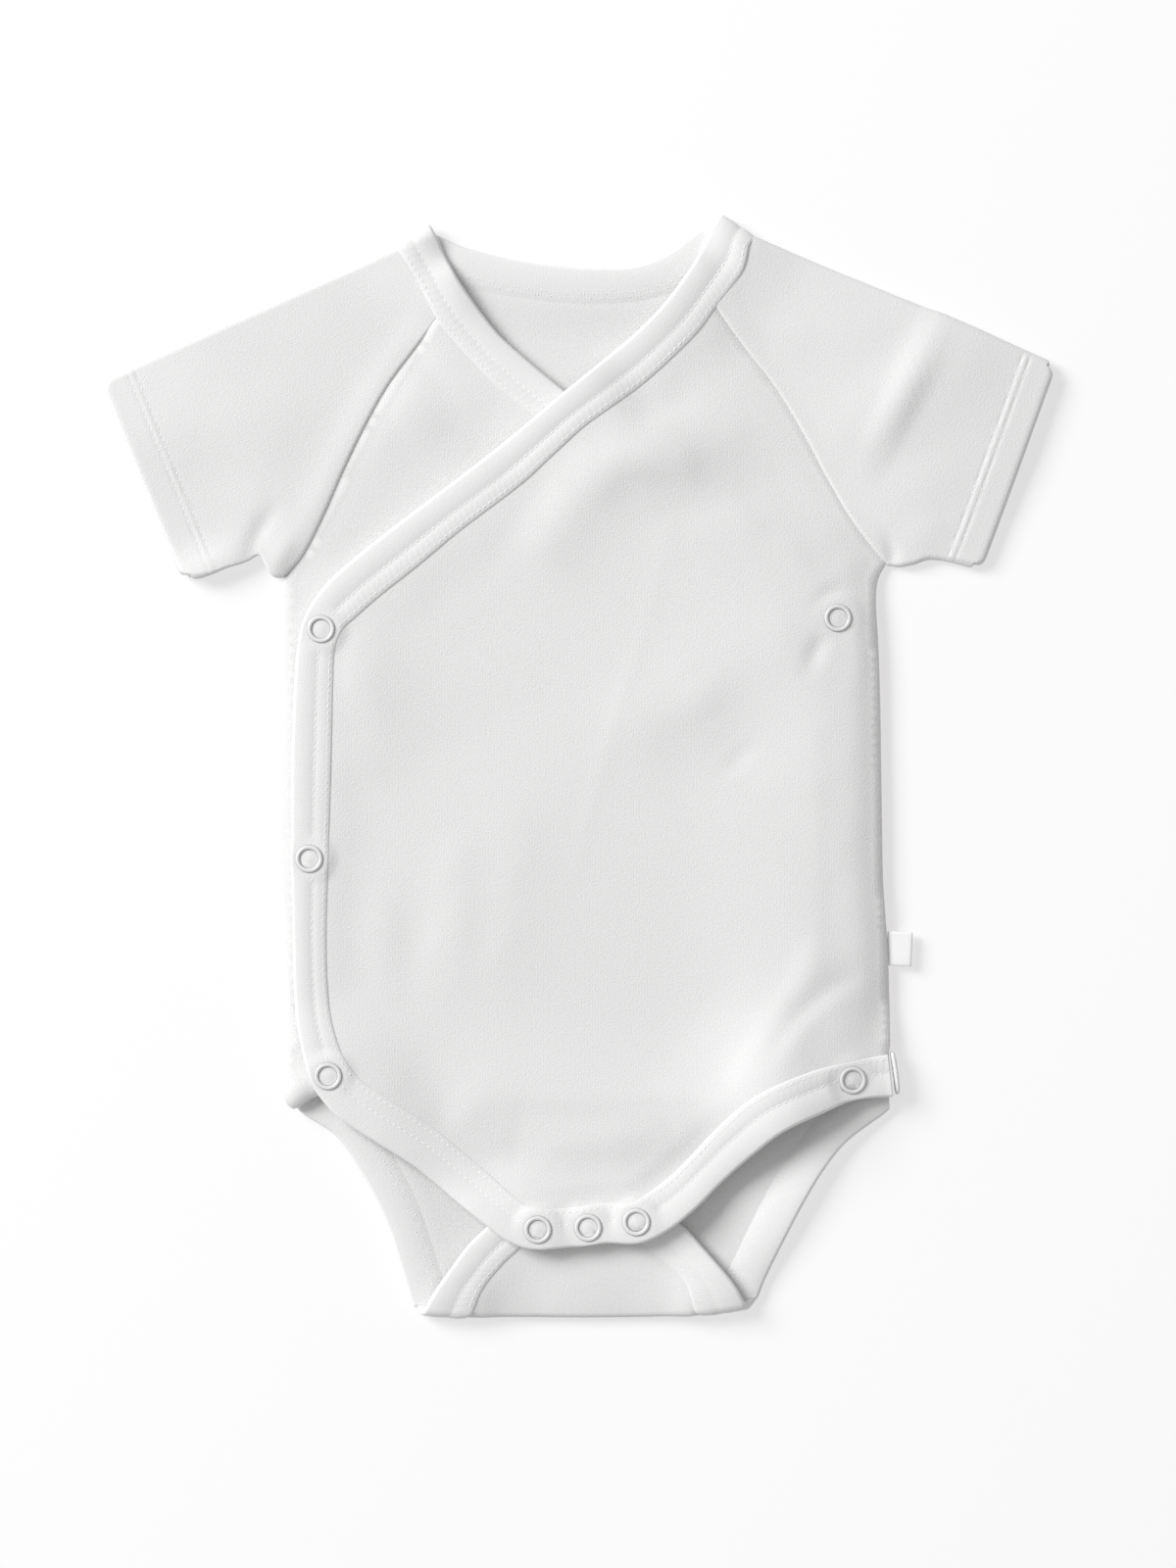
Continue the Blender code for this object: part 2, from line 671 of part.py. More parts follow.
def sleeve(home, name, cuff, front, back, front_seam, back_seam, low, high, finish):
    """A one-piece sleeve as a flattened tube from its cuff to its raglan seams.

    front and back are the tape sections over its neck edge, from the shoulder fold to the seam.
    """
    length = hypot(cuff[1][0] - cuff[0][0], cuff[1][1] - cuff[0][1])
    ends = between(cuff[0], cuff[1], CUFF_INSET / length), between(cuff[1], cuff[0], CUFF_INSET / length)
    shoulder = stitch(front[0])
    reach = hypot(shoulder[0] - cuff[0][0], shoulder[1] - cuff[0][1])
    hem = HEM_DEPTH / reach
    steps = (0, hem, hem + 0.012, 0.3, 0.45, 0.6, 0.74, 0.87, 1)

    def half(rows, seam):
        """Lines from the cuff to the neck and the raglan seam."""
        lines = []
        pairs = [(stitch(row), inner(row)) for row in rows] + [(None, end) for end in seam]
        armpit = Vector(seam[-1]) - Vector(ends[1])
        arch_way = Vector((-armpit.y, armpit.x)).normalized() * UNDERARM_ARCH
        if arch_way.y < 0:
            arch_way = -arch_way
        for k, (near, end) in enumerate(pairs):
            mouth = between(*ends, k / (len(pairs) - 1))
            if k == len(rows):
                near = between(seam[1], mouth, 0.015)
            elif near is None:
                near = between(end, mouth, 0.06 if k == len(rows) + 1 else 0.12)
            arch = arch_way * (k / (len(pairs) - 1)) ** 3
            lines.append([tuple(Vector(between(mouth, near, t)) + arch * sin(0.94 * pi * t)) for t in steps])
            lines[-1].append(end)
        return lines

    upper, lower = half(front, front_seam), half(back, back_seam)
    cuff_way = between((0, 0), (cuff[1][0] - cuff[0][0], cuff[1][1] - cuff[0][1]), 1 / length)
    top_edge = Vector((shoulder[0] - ends[0][0], shoulder[1] - ends[0][1])).normalized()
    top_way = Vector((-top_edge.y, top_edge.x)) * (1 if top_edge.x > 0 else -1)
    rings = []
    for s in range(len(steps) + 1):
        seam_way = Vector(upper[-1][s]) - Vector(upper[-2][s])
        arm_way = seam_way.normalized() if s >= len(steps) - 1 else Vector(cuff_way)
        neck_way = fold_way(front[0]) if s >= len(steps) - 1 else top_way
        ring = [over(high)(*line[s], WALL / 2) for line in upper]
        for k in (1, 2, 3):
            point = between(upper[-1][s], lower[-1][s], k / 4)
            ring.append(turning(pi * k / 4, low, high, arm_way)(*point, WALL / 2))
        ring += [under(low)(*line[s], WALL / 2) for line in reversed(lower)]
        for k in (3, 2, 1):
            point = between(upper[0][s], lower[0][s], k / 4)
            ring.append(turning(pi * k / 4, low, high, neck_way)(*point, WALL / 2))
        rings.append(ring)
    size = len(rings[0])
    faces = []
    for s in range(len(rings) - 1):
        for i in range(size):
            a, b = s * size + i, s * size + (i + 1) % size
            face = (a, b, b + size, a + size)
            faces.append(face[::-1] if cuff[0][0] > 0 else face)
    item = add(home, name, [p for ring in rings for p in ring], faces, finish)
    group = item.vertex_groups.new(name="hem")
    group.add(list(range(2 * size)), 1.0, "REPLACE")
    modifier = wall(item, 2 * WALL, -1.0)
    modifier.vertex_group = "hem"
    modifier.thickness_vertex_group = 0.5
    return item


def sleeve_heights(base, layer, raglan, cuff, step):
    """A sleeve's upper half starts at its front's height along the raglan seam and rises to its cuff."""
    away = distance(raglan)
    start_x, start_y = raglan[0]
    neck = np.hypot(GRID_X - start_x, GRID_Y - start_y)
    lift = 1.2 * smooth(away / 30) + 1.2 * smooth((away - 35) / 35)
    lift = lift * smooth((neck - 6) / 45) + step * smooth((neck - 12) / 30)
    lift += 0.5 * smooth((neck - 60) / 30) + 1.0 * (1 - smooth(distance(cuff) / 25))
    total, weight = 0, 0
    for x, y in raglan:
        share = 1 / ((GRID_X - x) ** 2 + (GRID_Y - y) ** 2 + 0.01)
        total, weight = total + share * (layer.at(x, y) - base.at(x, y)), weight + share
    meeting = total / weight * (1 - smooth(away / 25))
    return Heights(base.values + meeting + lift + ridges(SLEEVE_RIDGES) * smooth(away / 15))


def fold_way(row):
    """Away from the garment, square to a tape's fold at the shoulder."""
    way = Vector((row[0] - row[2], row[1] - row[3])).normalized()
    way = Vector((-way.y, way.x))
    return way if way.y > 0 else -way


def snap(home, name, x, y, top, mesh):
    """A ring cap on the cloth, square to it and clear of it."""
    near = np.hypot(GRID_X - x, GRID_Y - y) < SNAP_RADIUS
    plan = np.stack([GRID_X[near] - x, GRID_Y[near] - y, np.ones(near.sum())], axis=1)
    slope_x, slope_y, height = np.linalg.lstsq(plan, top[near], rcond=None)[0]
    height += (top[near] - plan @ (slope_x, slope_y, height)).max()
    item = bpy.data.objects.new(name, mesh)
    home.objects.link(item)
    item.location = Vector((x, y, height + GAP)) * MM
    item.rotation_euler = Vector((-slope_x, -slope_y, 1)).to_track_quat("Z", "Y").to_euler()
    turned = item.modifiers.new("ring", "SCREW")
    turned.steps = 18
    turned.render_steps = 18
    turned.merge_threshold = 0.00001
    turned.use_merge_vertices = True
    return item


def ring_profile(finish):
    """Section of a snap's ring, down its outer side and up its bore."""
    radii = (SNAP_BORE, SNAP_BORE + 0.55, SNAP_RADIUS - 0.55, SNAP_RADIUS, SNAP_RADIUS, SNAP_BORE)
    levels = (0.45, SNAP_HEIGHT, SNAP_HEIGHT, 0.35, 0.0, 0.0)
    mesh = bpy.data.meshes.new("snap_ring")
    count = len(radii)
    mesh.from_pydata([Vector((r, 0, z)) * MM for r, z in zip(radii, levels)],
                     [(k, (k + 1) % count) for k in range(count)], [])
    mesh.materials.append(finish)
    return mesh


def slip(home, name, size, centre, tilt, finish):
    """A small flat strip with soft edges."""
    bpy.ops.mesh.primitive_cube_add(size=1, location=Vector(centre) * MM)
    item = bpy.context.object
    item.name = name
    for owner in list(item.users_collection):
        owner.objects.unlink(item)
    home.objects.link(item)
    item.data.transform(Matrix.Diagonal((size[0] * MM, size[1] * MM, size[2] * MM, 1)))
    item.rotation_euler = (0, 0, tilt)
    item.data.materials.append(finish)
    edge = item.modifiers.new("edge", "BEVEL")
    edge.width = 0.3 * MM
    edge.segments = 2
    return item


def main():
    home = start()
    knit = material("white_interlock", (0.86, 0.86, 0.85), 0.9)
    ribbing = material("white_tape", (0.87, 0.87, 0.86), 0.9)
    enamel = material("white_snap", (0.85, 0.85, 0.85), 0.35)
    satin = material("white_label", (0.9, 0.9, 0.9), 0.5)

    leg_front = finer(FRONT_LEG_TAPE, 2)
    leg_right = leg_sections(LEG_TAPE_RIGHT, FLAP_TAPE_RIGHT)
    leg_left = leg_sections(LEG_TAPE_LEFT, FLAP_TAPE_LEFT)
    low_right, low_left = on_floor(LEG_TAPE_RIGHT), on_floor(LEG_TAPE_LEFT)
    flap_right, flap_left = on_floor(FLAP_TAPE_RIGHT), on_floor(FLAP_TAPE_LEFT)

    # The lowest layer rests on the floor: its tapes lift the cloth that they wrap.
    corners = inside(fold_corner(low_right[-1], flap_right[0]))
    corners |= inside(fold_corner(low_left[-1], flap_left[0]))
    low_tapes = draped_over(strips(NECK_TAPE, low_right, low_left) | corners)
    low = Heights(draped(WALL / 2 + TAPE_RISE * low_tapes))
    low_top = low.values + WALL / 2 + TAPE_RISE * low_tapes

    # The flap lies on it, below the front's crotch.
    flap_tapes = strips(flap_right, flap_left) | corners
    puff = FLAP_PUFF * np.clip(1 - (np.abs(GRID_X - 2) / 46) ** 2, 0, 1)
    need = low_top + GAP + SLACK + WALL / 2 + TAPE_RISE * flap_tapes + SLACK * corners
    flap = Heights(draped(need, 3) + puff)

    corner = NECK_CORNER + 1
    count = len(RAGLAN_RIGHT)
    right_corner, left_corner = NECK_TAPE[NECK_CORNER], NECK_TAPE[-corner]
    raglan_right = [inner(INNER_TAPE[NECK_CORNER]), *RAGLAN_RIGHT]
    raglan_left = [inner(WRAP_TAPE[NECK_CORNER]), *RAGLAN_LEFT]
    back_raglan_right = [inner(right_corner)]
    back_raglan_right += bowed(stitch(right_corner), RAGLAN_RIGHT[-1], -BACK_RAGLAN_BOW, count)
    back_raglan_left = [inner(left_corner)]
    back_raglan_left += bowed(stitch(left_corner), RAGLAN_LEFT[-1], BACK_RAGLAN_BOW, count)

    outline = [inner(row) for row in NECK_TAPE[corner:-corner]]
    outline += beside(back_raglan_left, -SEAM_SHIFT)
    outline += [*SIDE_LEFT[1:], stitch(leg_left[0])]
    outline += [inner(row) for row in leg_left]
    outline += [inner(row) for row in reversed(leg_right)]
    outline += list(reversed(SIDE_RIGHT[1:]))
    outline += list(reversed(beside(back_raglan_right, SEAM_SHIFT)))
    lines = seams(pairs(NECK_TAPE[corner:-corner])) + seams(pairs(leg_right)) + seams(pairs(leg_left))
    for k in range(5):
        left, right = leg_left[len(low_left) - 1 + k], leg_right[len(low_right) - 1 + k]
        across = [between(stitch(right), stitch(left), t / 8)[0] for t in range(9)]
        lines.append([(x, fold_line(x) - CROTCH_TURN * k / 4) for x in across])
    flat, faces = cut(outline, lines, 15)
    on_fold = on_back(low, flap)
    back = [on_fold(x, v, 0) for x, v in flat]
    panel(home, "back_panel", back, faces, knit)

    neck_sections = [(row, under(low)) for row in NECK_TAPE]
    right_sections = [(row, on_fold) for row in leg_right]
    left_sections = [(row, on_fold) for row in leg_left]
    top = highest(back, faces) + WALL / 2
    for sections in (neck_sections, right_sections, left_sections):
        top = np.maximum(top, highest(*tape_surface(sections)) + TAPE / 2)
    top = np.maximum(top, WALL)

    # The inner front.
    outline = [inner(row) for row in INNER_TAPE[corner:]]
    outline += [*INNER_HEM]
    outline += list(reversed(SIDE_RIGHT))[:-1]
    raglan = beside(raglan_right, SEAM_SHIFT)
    outline += list(reversed(raglan))
    rows = list(reversed(INNER_TAPE))[:-NECK_CORNER]
    flat = cut(outline, seams([*pairs(rows[:-1]), (raglan[1], raglan[0])]), 13)
    free = smooth(distance(SIDE_RIGHT) / 14)
    first = Heights(draped(top + GAP + WALL / 2 + TAPE_RISE * strips(INNER_TAPE), 3) + SLACK * free)
    inner_layer = Layer(flat, [rows], first, top)
    panel(home, "inner_front", inner_layer.surface(), inner_layer.faces, knit)
    inner_sections = [(row, over(inner_layer)) for row in rows[:-1]]

    high_right = sleeve_heights(first, inner_layer, raglan_right, CUFF_RIGHT, 0.8)
    right_neck = [(row, over(high_right)) for row in reversed(INNER_TAPE[:corner])]
    top = np.maximum(top, highest(inner_layer.surface(), inner_layer.faces) + WALL / 2)
    top = np.maximum(top, highest(*tape_surface(inner_sections + right_neck)) + TAPE / 2)

    # The outer front.
    outline = [inner(row) for row in reversed(WRAP_TAPE[corner:])]
    raglan = beside(raglan_left, -SEAM_SHIFT)
    outline += raglan
    outline += [*SIDE_LEFT[1:], stitch(leg_front[-1])]
    outline += [inner(row) for row in reversed(leg_front)]
    lines = seams([(raglan[1], raglan[0]), *pairs(WRAP_TAPE[corner:])]) + seams(pairs(leg_front))
    lines.append(finer(beside(SIDE_LEFT[2:], -SIDE_BAND), 2))
    flat = cut(outline, lines, 11)
    free = smooth(distance(SIDE_LEFT) / 14)
    near = np.minimum(distance([row[2:] for row in WRAP_TAPE]), distance([row[2:] for row in leg_front]))
    folds = (SLACK + ridges(RIDGES) * smooth(near / 16)) * free
    need = top + GAP + WALL / 2 + TAPE_RISE * strips(WRAP_TAPE, leg_front)
    bottom = draped(np.where(GRID_Y < -88, need, 0), 7)
    second = Heights(np.maximum(draped(need, 5), bottom) + folds + ridges(LEG_LIFTS))
    outer_layer = Layer(flat, [WRAP_TAPE[NECK_CORNER:], leg_front], second, top)
    panel(home, "outer_front", outer_layer.surface(), outer_layer.faces, knit)
    wrap_sections = [(row, over(outer_layer)) for row in WRAP_TAPE[corner:]]
    leg_front_sections = [(row, over(outer_layer)) for row in leg_front]

    high_left = sleeve_heights(second, outer_layer, raglan_left, CUFF_LEFT, 0.3)
    left_neck = [(row, over(high_left)) for row in WRAP_TAPE[:corner]]
    top = np.maximum(top, highest(outer_layer.surface(), outer_layer.faces) + WALL / 2)
    for sections in (wrap_sections, leg_front_sections):
        top = np.maximum(top, highest(*tape_surface(sections)) + TAPE / 2)

    sleeve(home, "right_sleeve", CUFF_RIGHT, INNER_TAPE[:NECK_CORNER], NECK_TAPE[:NECK_CORNER],
           beside(raglan_right, -SEAM_SHIFT), beside(back_raglan_right, -SEAM_SHIFT), low, high_right, knit)
    sleeve(home, "left_sleeve", CUFF_LEFT, WRAP_TAPE[:NECK_CORNER], NECK_TAPE[:-corner:-1],
           beside(raglan_left, SEAM_SHIFT), beside(back_raglan_left, SEAM_SHIFT), low, high_left, knit)

    # One tape binds the inner front's edge, the back neck and the outer front's edge.
    sections = inner_sections + right_neck
    for k in (1, 2, 3):
        sections.append((INNER_TAPE[0], turning(pi * k / 4, low, high_right, fold_way(INNER_TAPE[0]))))
    sections += neck_sections
    for k in (3, 2, 1):
        sections.append((WRAP_TAPE[0], turning(pi * k / 4, low, high_left, fold_way(WRAP_TAPE[0]))))
    sections += left_neck + wrap_sections
    tape(home, "neck_and_wrap_tape", sections, ribbing)

    tape(home, "front_leg_tape", leg_front_sections, ribbing)
    tape(home, "right_leg_tape", right_sections, ribbing)
    tape(home, "left_leg_tape", left_sections, ribbing)

    profile = ring_profile(enamel)
    for name, x, y in SNAPS:
        snap(home, name, x, y, top, profile)

    slip(home, "side_label", LABEL_SIZE, LABEL_CENTRE, LABEL_TILT, satin)
    slip(home, "seam_tab", TAB_SIZE, TAB_CENTRE, TAB_TILT, ribbing)


main()
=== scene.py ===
"""Looks of a baby's short-sleeved wrap bodysuit, laid flat on its back with the front up.

Every cloth piece is a thin shell on the form of its solid, read from the frame as a height over the
floor. Its creases, the relief of its tapes and its stitches are added in sizes of their own.
Left and right are the wearer's. Sizes are in millimetres here, and MM turns them into metres.
"""

from math import cos, hypot, pi, sin

import bpy
import numpy as np
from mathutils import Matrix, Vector
from mathutils.geometry import delaunay_2d_cdt


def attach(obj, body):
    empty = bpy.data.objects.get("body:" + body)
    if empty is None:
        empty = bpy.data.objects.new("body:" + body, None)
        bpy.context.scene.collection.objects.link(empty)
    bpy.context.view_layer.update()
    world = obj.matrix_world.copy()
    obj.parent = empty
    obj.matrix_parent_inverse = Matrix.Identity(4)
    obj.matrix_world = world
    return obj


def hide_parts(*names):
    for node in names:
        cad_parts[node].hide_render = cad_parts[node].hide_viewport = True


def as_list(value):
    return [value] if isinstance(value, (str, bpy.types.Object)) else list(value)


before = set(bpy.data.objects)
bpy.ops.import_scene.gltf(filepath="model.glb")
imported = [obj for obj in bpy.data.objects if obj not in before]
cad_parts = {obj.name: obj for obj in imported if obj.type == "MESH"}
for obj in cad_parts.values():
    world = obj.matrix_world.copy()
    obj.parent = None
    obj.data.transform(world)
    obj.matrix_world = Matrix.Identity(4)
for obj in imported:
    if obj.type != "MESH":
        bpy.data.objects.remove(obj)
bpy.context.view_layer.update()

MM = 0.001
WALL = 1.1                  # interlock knit of the panels and sleeves
TAPE = 1.0                  # knit tape that is folded round every raw edge
GAP = 0.3
TAPE_MIDDLE = WALL / 2 + GAP + TAPE / 2
TAPE_FACE = TAPE_MIDDLE + TAPE / 2
TAPE_WIDTH = 13.4           # the tape's usual width, that its relief is drawn for
TAPE_SHELL = 0.7            # and its wall here, on the middle of the solid's
TAPE_BEND = 0.85            # how far its fold bulges
TAPE_STEP = 0.65            # between the sections of a tape where it shows
HIDDEN_STEP = 1.6           # and where it is hidden
SHARES_RIGHT, SHARES_LEFT = 0.9, 0.25   # how proud the back's leg tapes stand on the flap
PANEL_REACH = 0.7           # share of the tape's width that the panel's edge fills
SHOULDER_ROWS = 3           # tape sections that lie on a sleeve, before the raglan seam
CUFF_INSET = 3.4            # from a cuff's corner to the axis of the sleeve's fold
CUFF_ROUND = 2.6            # radius of a cuff's corners
HEM_TURNED = 12.0           # cloth turned in at a cuff
SEAM_EASE = 0.35            # how far a sleeve rises and a front sinks beside their seam
TIP = (4.0, 0.6)            # how a tape's corner is rounded: over this length, and by this much
SIDE_CORNER = (8.0, 4.6)    # and at the right side seam
TIP_RISE = 1.3              # how far the tapes' folds stand out at the shoulders

CROTCH_FOLD = -188.9        # where the back panel turns up, at the middle
CROTCH_CORNER = 60.0        # half width over which that fold line rises
CROTCH_RISE_RIGHT = 2.7
CROTCH_RISE_LEFT = 5.5
CROTCH_TURN = 6.4           # length of cloth in the turn

SNAP_RADIUS = 4.85
SNAP_BORE = 3.15
SNAP_SUNK = 0.50            # how far a ring presses into the tape
SNAP_DOME = 0.26            # how far the cloth bulges inside a ring
SNAP_STEPS = 64
STITCH_LENGTH = 1.9
STITCH_PITCH = 2.4
ZIGZAG_PITCH = 1.15
THREAD = 0.17               # radius of a sewing thread
TAB_PLACE, TAB_SIZE, TAB_TILT = (109.3, -105.8, 4.7), (0.95, 14.6, 2.7), 0.13
LABEL_PLACE, LABEL_SIZE, LABEL_TILT = (111.1, -62.8, 2.8), (8.6, 11.6, 0.34), -0.05
LABEL_CUT = (11.6, 17.0)

KEY_PLACE, KEY_SIZE, KEY_POWER = (-2.75, 1.65, 2.16), 1.9, 163.0    # in metres
WORLD_LIGHT = 0.475
FLOOR_HALF = 3.0            # in metres
FLOOR_SHADE = (0.415, 0.435, 0.430)
FLOOR_GLOW = (0.548, 0.528, 0.533)
CAMERA_PLACE, CAMERA_REACH, CAMERA_VIEW = (0.0029, -0.0056, 1.604), 1.6, 0.544  # in metres

# Sections across a tape: where it is folded (free edge) and where it is stitched to its panel.
# free x, free y, stitch x, stitch y; no y on the crotch's fold line
WRAP_TAPE = (
    (45.9, 189.3, 58.5, 180.8), (43.4, 183, 56.6, 172.8), (40.8, 178, 52.3, 166.2),
    (38.2, 173.5, 47.4, 160), (29.8, 162, 40.8, 151), (19.5, 151.4, 30.5, 140.8),
    (10, 143.3, 20.6, 132.1), (0.8, 135.6, 11, 125), (-8.3, 128, 1.2, 117.8),
    (-19, 119, -9.8, 107.8), (-30.1, 110, -20.9, 97.8), (-51.5, 93.7, -42, 81.8),
    (-65.1, 83.5, -55.9, 70.2), (-78.7, 72.6, -69.2, 59.7), (-88, 64, -77.4, 52.5),
    (-94.3, 55, -82.5, 47.6), (-97.6, 44.4, -85, 40.6), (-99.1, 28.4, -85.6, 27.7),
    (-100.1, 1.2, -86.2, 1.2), (-100.1, -31.8, -87.2, -31.8), (-99.5, -60, -87.9, -60),
    (-98.8, -82.1, -86.9, -82.1), (-97.1, -94, -84, -94.7), (-94.6, -104.4, -80.6, -102),
    (-90.9, -112.9, -76.3, -107.6),
)
FRONT_LEG_TAPE = (
    (-90.8, -113.2, -76.2, -107.9), (-84.5, -120.5, -72.6, -110.7), (-77.4, -125.6, -67.5, -113.9),
    (-59, -137.2, -50.5, -125), (-50.6, -143.8, -42.2, -131.9), (-42.3, -150.8, -33.8, -138.9),
    (-31.8, -159, -23.3, -148), (-23.6, -164.7, -17.9, -151.6), (-14.5, -166.8, -13.1, -152.8),
    (-0.2, -165.8, -0.9, -152.2), (8.7, -164.7, 8.7, -150.8), (20.2, -164.7, 17.5, -150.8),
    (30.1, -160.7, 23.6, -147.4), (40.6, -152.5, 31.5, -141.6), (49.8, -143.3, 39.3, -133.8),
    (60, -134.1, 49.5, -122.9), (70.9, -125.6, 61.4, -113.1), (84.8, -119.2, 78.4, -105.6),
    (95.4, -115.1, 92, -102.2), (108.2, -114.2, 106.6, -99.5),
)
INNER_TAPE = (
    (-49.3, 185.4, -62.2, 178.6), (-47.6, 180.2, -59.5, 174.4), (-44.4, 173.6, -55, 167),
    (-40.6, 167.3, -49.5, 155.9), (-34.6, 158.8, -43.6, 148.4), (-27.6, 150.2, -37.6, 141.6),
    (-19.2, 142.6, -29.4, 133.1), (-8.3, 133.5, -17.2, 122.9), (10, 119.2, 1.9, 108.3),
    (31.8, 102.9, 23.3, 91), (53.2, 85.9, 44.4, 74), (72.9, 70.9, 62.7, 60.4),
    (86, 59.7, 75.7, 51.2), (92.4, 48.5, 80, 44), (94.4, 28.4, 80.6, 27.7),
    (94.8, -29.4, 81, -29.4), (95.2, -58, 81.6, -57), (94.2, -77, 80.8, -74),
    (90.8, -93, 77.6, -88.5), (86, -105.5, 73, -100.3), (82.2, -114, 69.2, -108.6),
)
NECK_TAPE = (
    (-49.3, 185.4, -62.2, 178.6), (-47.8, 184.6, -58.5, 173.5), (-45.7, 183.6, -54.2, 171),
    (-43.4, 182.4, -50.2, 169.5), (-37.9, 180.4, -43, 166.8), (-24.3, 177, -26.4, 163.4),
    (-10.7, 174.9, -11.7, 161.3), (2.9, 173.9, 2.9, 160.3), (16.5, 174.2, 18.2, 161),
    (25, 176.3, 29.4, 163.4), (32.1, 180, 38.9, 167.5), (40.1, 186.2, 47.1, 173.9),
    (42, 187.3, 50.8, 176.2), (44, 188.4, 54.6, 178.6), (45.9, 189.3, 58.5, 180.8),
)
LEG_TAPE_RIGHT = (
    (-101.8, -117.4, -102.6, -104.6), (-92.7, -122.6, -87.9, -109.7),
    (-85.2, -127.7, -76.7, -117.1), (-78.7, -136.5, -67.5, -128.7), (-72.2, -147.7, -60.4, -140.9),
    (-67.2, -158.6, -54.6, -153.2), (-63.4, -170.2, -50.2, -166.1), (-60.7, -179, -46.8, -177),
    (-58.3, None, -43.4, None),
)
FLAP_TAPE_RIGHT = (
    (-53.8, None, -37, None), (-50.5, -181.1, -34.6, -182.2), (-46.1, -174.9, -31.1, -177),
    (-39.6, -166.1, -25.7, -171), (-33.8, -160.3, -20.9, -166.5), (-30, -157, -16.6, -161),
    (-28.1, -155.2, -14.1, -155.2),
)
LEG_TAPE_LEFT = (
    (107.4, -119.4, 106.8, -106.3), (100.8, -123.9, 95.4, -111.4), (92, -130.7, 83.1, -120.5),
    (84.5, -140.2, 72.9, -132.8), (77.7, -151.5, 65.5, -145.4), (71.9, -162.7, 59.3, -157.2),
    (67.2, -172.2, 53.9, -168.1), (64.3, -178.6, 50, -176.4), (62.4, None, 46.8, None),
)
FLAP_TAPE_LEFT = (
    (57.6, None, 40, None), (54.6, -179.4, 37.6, -179.8), (50.5, -174.2, 34.5, -175.6),
    (43, -165.8, 28.7, -170.6), (37.6, -159.9, 23.3, -166), (34, -157, 19.4, -160.6),
    (32.1, -155.2, 17.9, -155.2),
)

# Raglan seams on the front, neck to armpit, and the side seams, armpit to leg.
# x, y
RAGLAN_RIGHT = (
    (-49.5, 155.9), (-58.2, 144.8), (-66.8, 133.1), (-74.6, 119.3), (-82.1, 103.9), (-88.9, 88.5),
    (-96, 74.6), (-102, 67.5),
)
RAGLAN_LEFT = (
    (47.4, 160), (57.4, 146.2), (68, 132.6), (77.7, 116.8), (86, 101.2), (93.6, 88), (101, 77.8),
    (106.4, 71.4),
)
SIDE_RIGHT = (
    (-102, 67.5), (-102.4, 60.4), (-102.5, 27.7), (-103.2, -0.2), (-103.2, -34.9), (-102.2, -53.9),
    (-100.9, -88.6), (-101.3, -98.4), (-102.6, -104.6),
)
SIDE_LEFT = (
    (106.4, 71.4), (103.2, 65.5), (102.4, 57), (103.2, 42.7), (103.9, 21.6), (104.2, 1),
    (104.5, -19), (104.9, -39.6), (106.3, -60), (107.1, -81.1), (107.2, -96),
)
BACK_RAGLAN_BOW = 2.5
INNER_HEM = (
    (66, -115.4), (52, -116), (34, -116.2), (0, -116.2), (-30, -115.2), (-58.3, -113.7),
    (-80, -112.6), (-90.6, -113.4), (-95.4, -115.7), (-99.2, -117.9), (-101.6, -115.4),
    (-102.6, -110.2),
)
CUFF_RIGHT = ((-166.1, 135.8), (-136.2, 63.4))
CUFF_LEFT = ((165.4, 141.3), (138.2, 66.5))

SNAPS = (
    "snap_side_top", "snap_side_middle", "snap_side_bottom", "snap_left_top", "snap_left_bottom",
    "snap_crotch_right", "snap_crotch_middle", "snap_crotch_left",
)

# Creases: half width and height, then the points of a line.
FRONT_CREASES = (
    (9, 0.9, (-8, 79), (6, 101), (28, 112), (50, 115)), (9, -0.6, (26, 88), (44, 94), (66, 98)),
    (14, 0.5, (-80, 48), (-72, 30), (-66, 18)), (16, -0.5, (-80, 16), (-50, 8), (-16, 20)),
    (9, 0.5, (38, 30), (42, 24), (46, 17)), (8, -0.4, (52, 6), (58, 0)),
    (3, 0.12, (32, 85), (22, 47), (8, 2), (-2, -38)), (3, 0.10, (81, 13), (81.5, -62), (70, -102)),
    (4.5, 0.45, (70, -98), (84, -84), (99, -76)), (4.5, 0.3, (60, -96), (72, -80), (88, -66)),
    (3, -0.4, (66, -99), (78, -84), (94, -72)), (15, 2.6, (-22, -130), (8, -133), (32, -126)),
    (2.5, -0.12, (18, -118), (42, -118)), (7, 0.35, (-68, -40), (-70, -76)),
    (7, -0.3, (-56, -42), (-57, -80)), (6, 0.3, (-41, -30), (-42, -72)),
    (7, -0.3, (86, -36), (90, -74)), (2.6, -0.6, (82.5, 56), (86.5, 60), (92, 61)),
    (3, -0.8, (85, 46), (81.5, 40), (79.5, 34)), (3.6, 0.4, (95.5, 46), (98, 38), (97, 30)),
    (18, 0.7, (40, -20), (62, -10), (74, 4)), (20, 1.2, (64, -12), (62, -50), (60, -84)),
)
FLAP_CREASES = (
    (8.0, 0.5, (-14.0, -178.0), (20.0, -180.0)),
    (6.0, -0.3, (-24.0, -168.0), (-16.0, -182.0)),
)
INNER_CREASES = (
    (8, -0.5, (-42, 112), (-24, 104)), (12, 0.9, (-64, 116), (-46, 130)),
    (6, -0.3, (-84, 72), (-70, 84)),
)
RAGLAN_CREASE = (16.0, 1.1, (-56.0, 142.0), (-74.0, 114.0), (-92.0, 82.0))
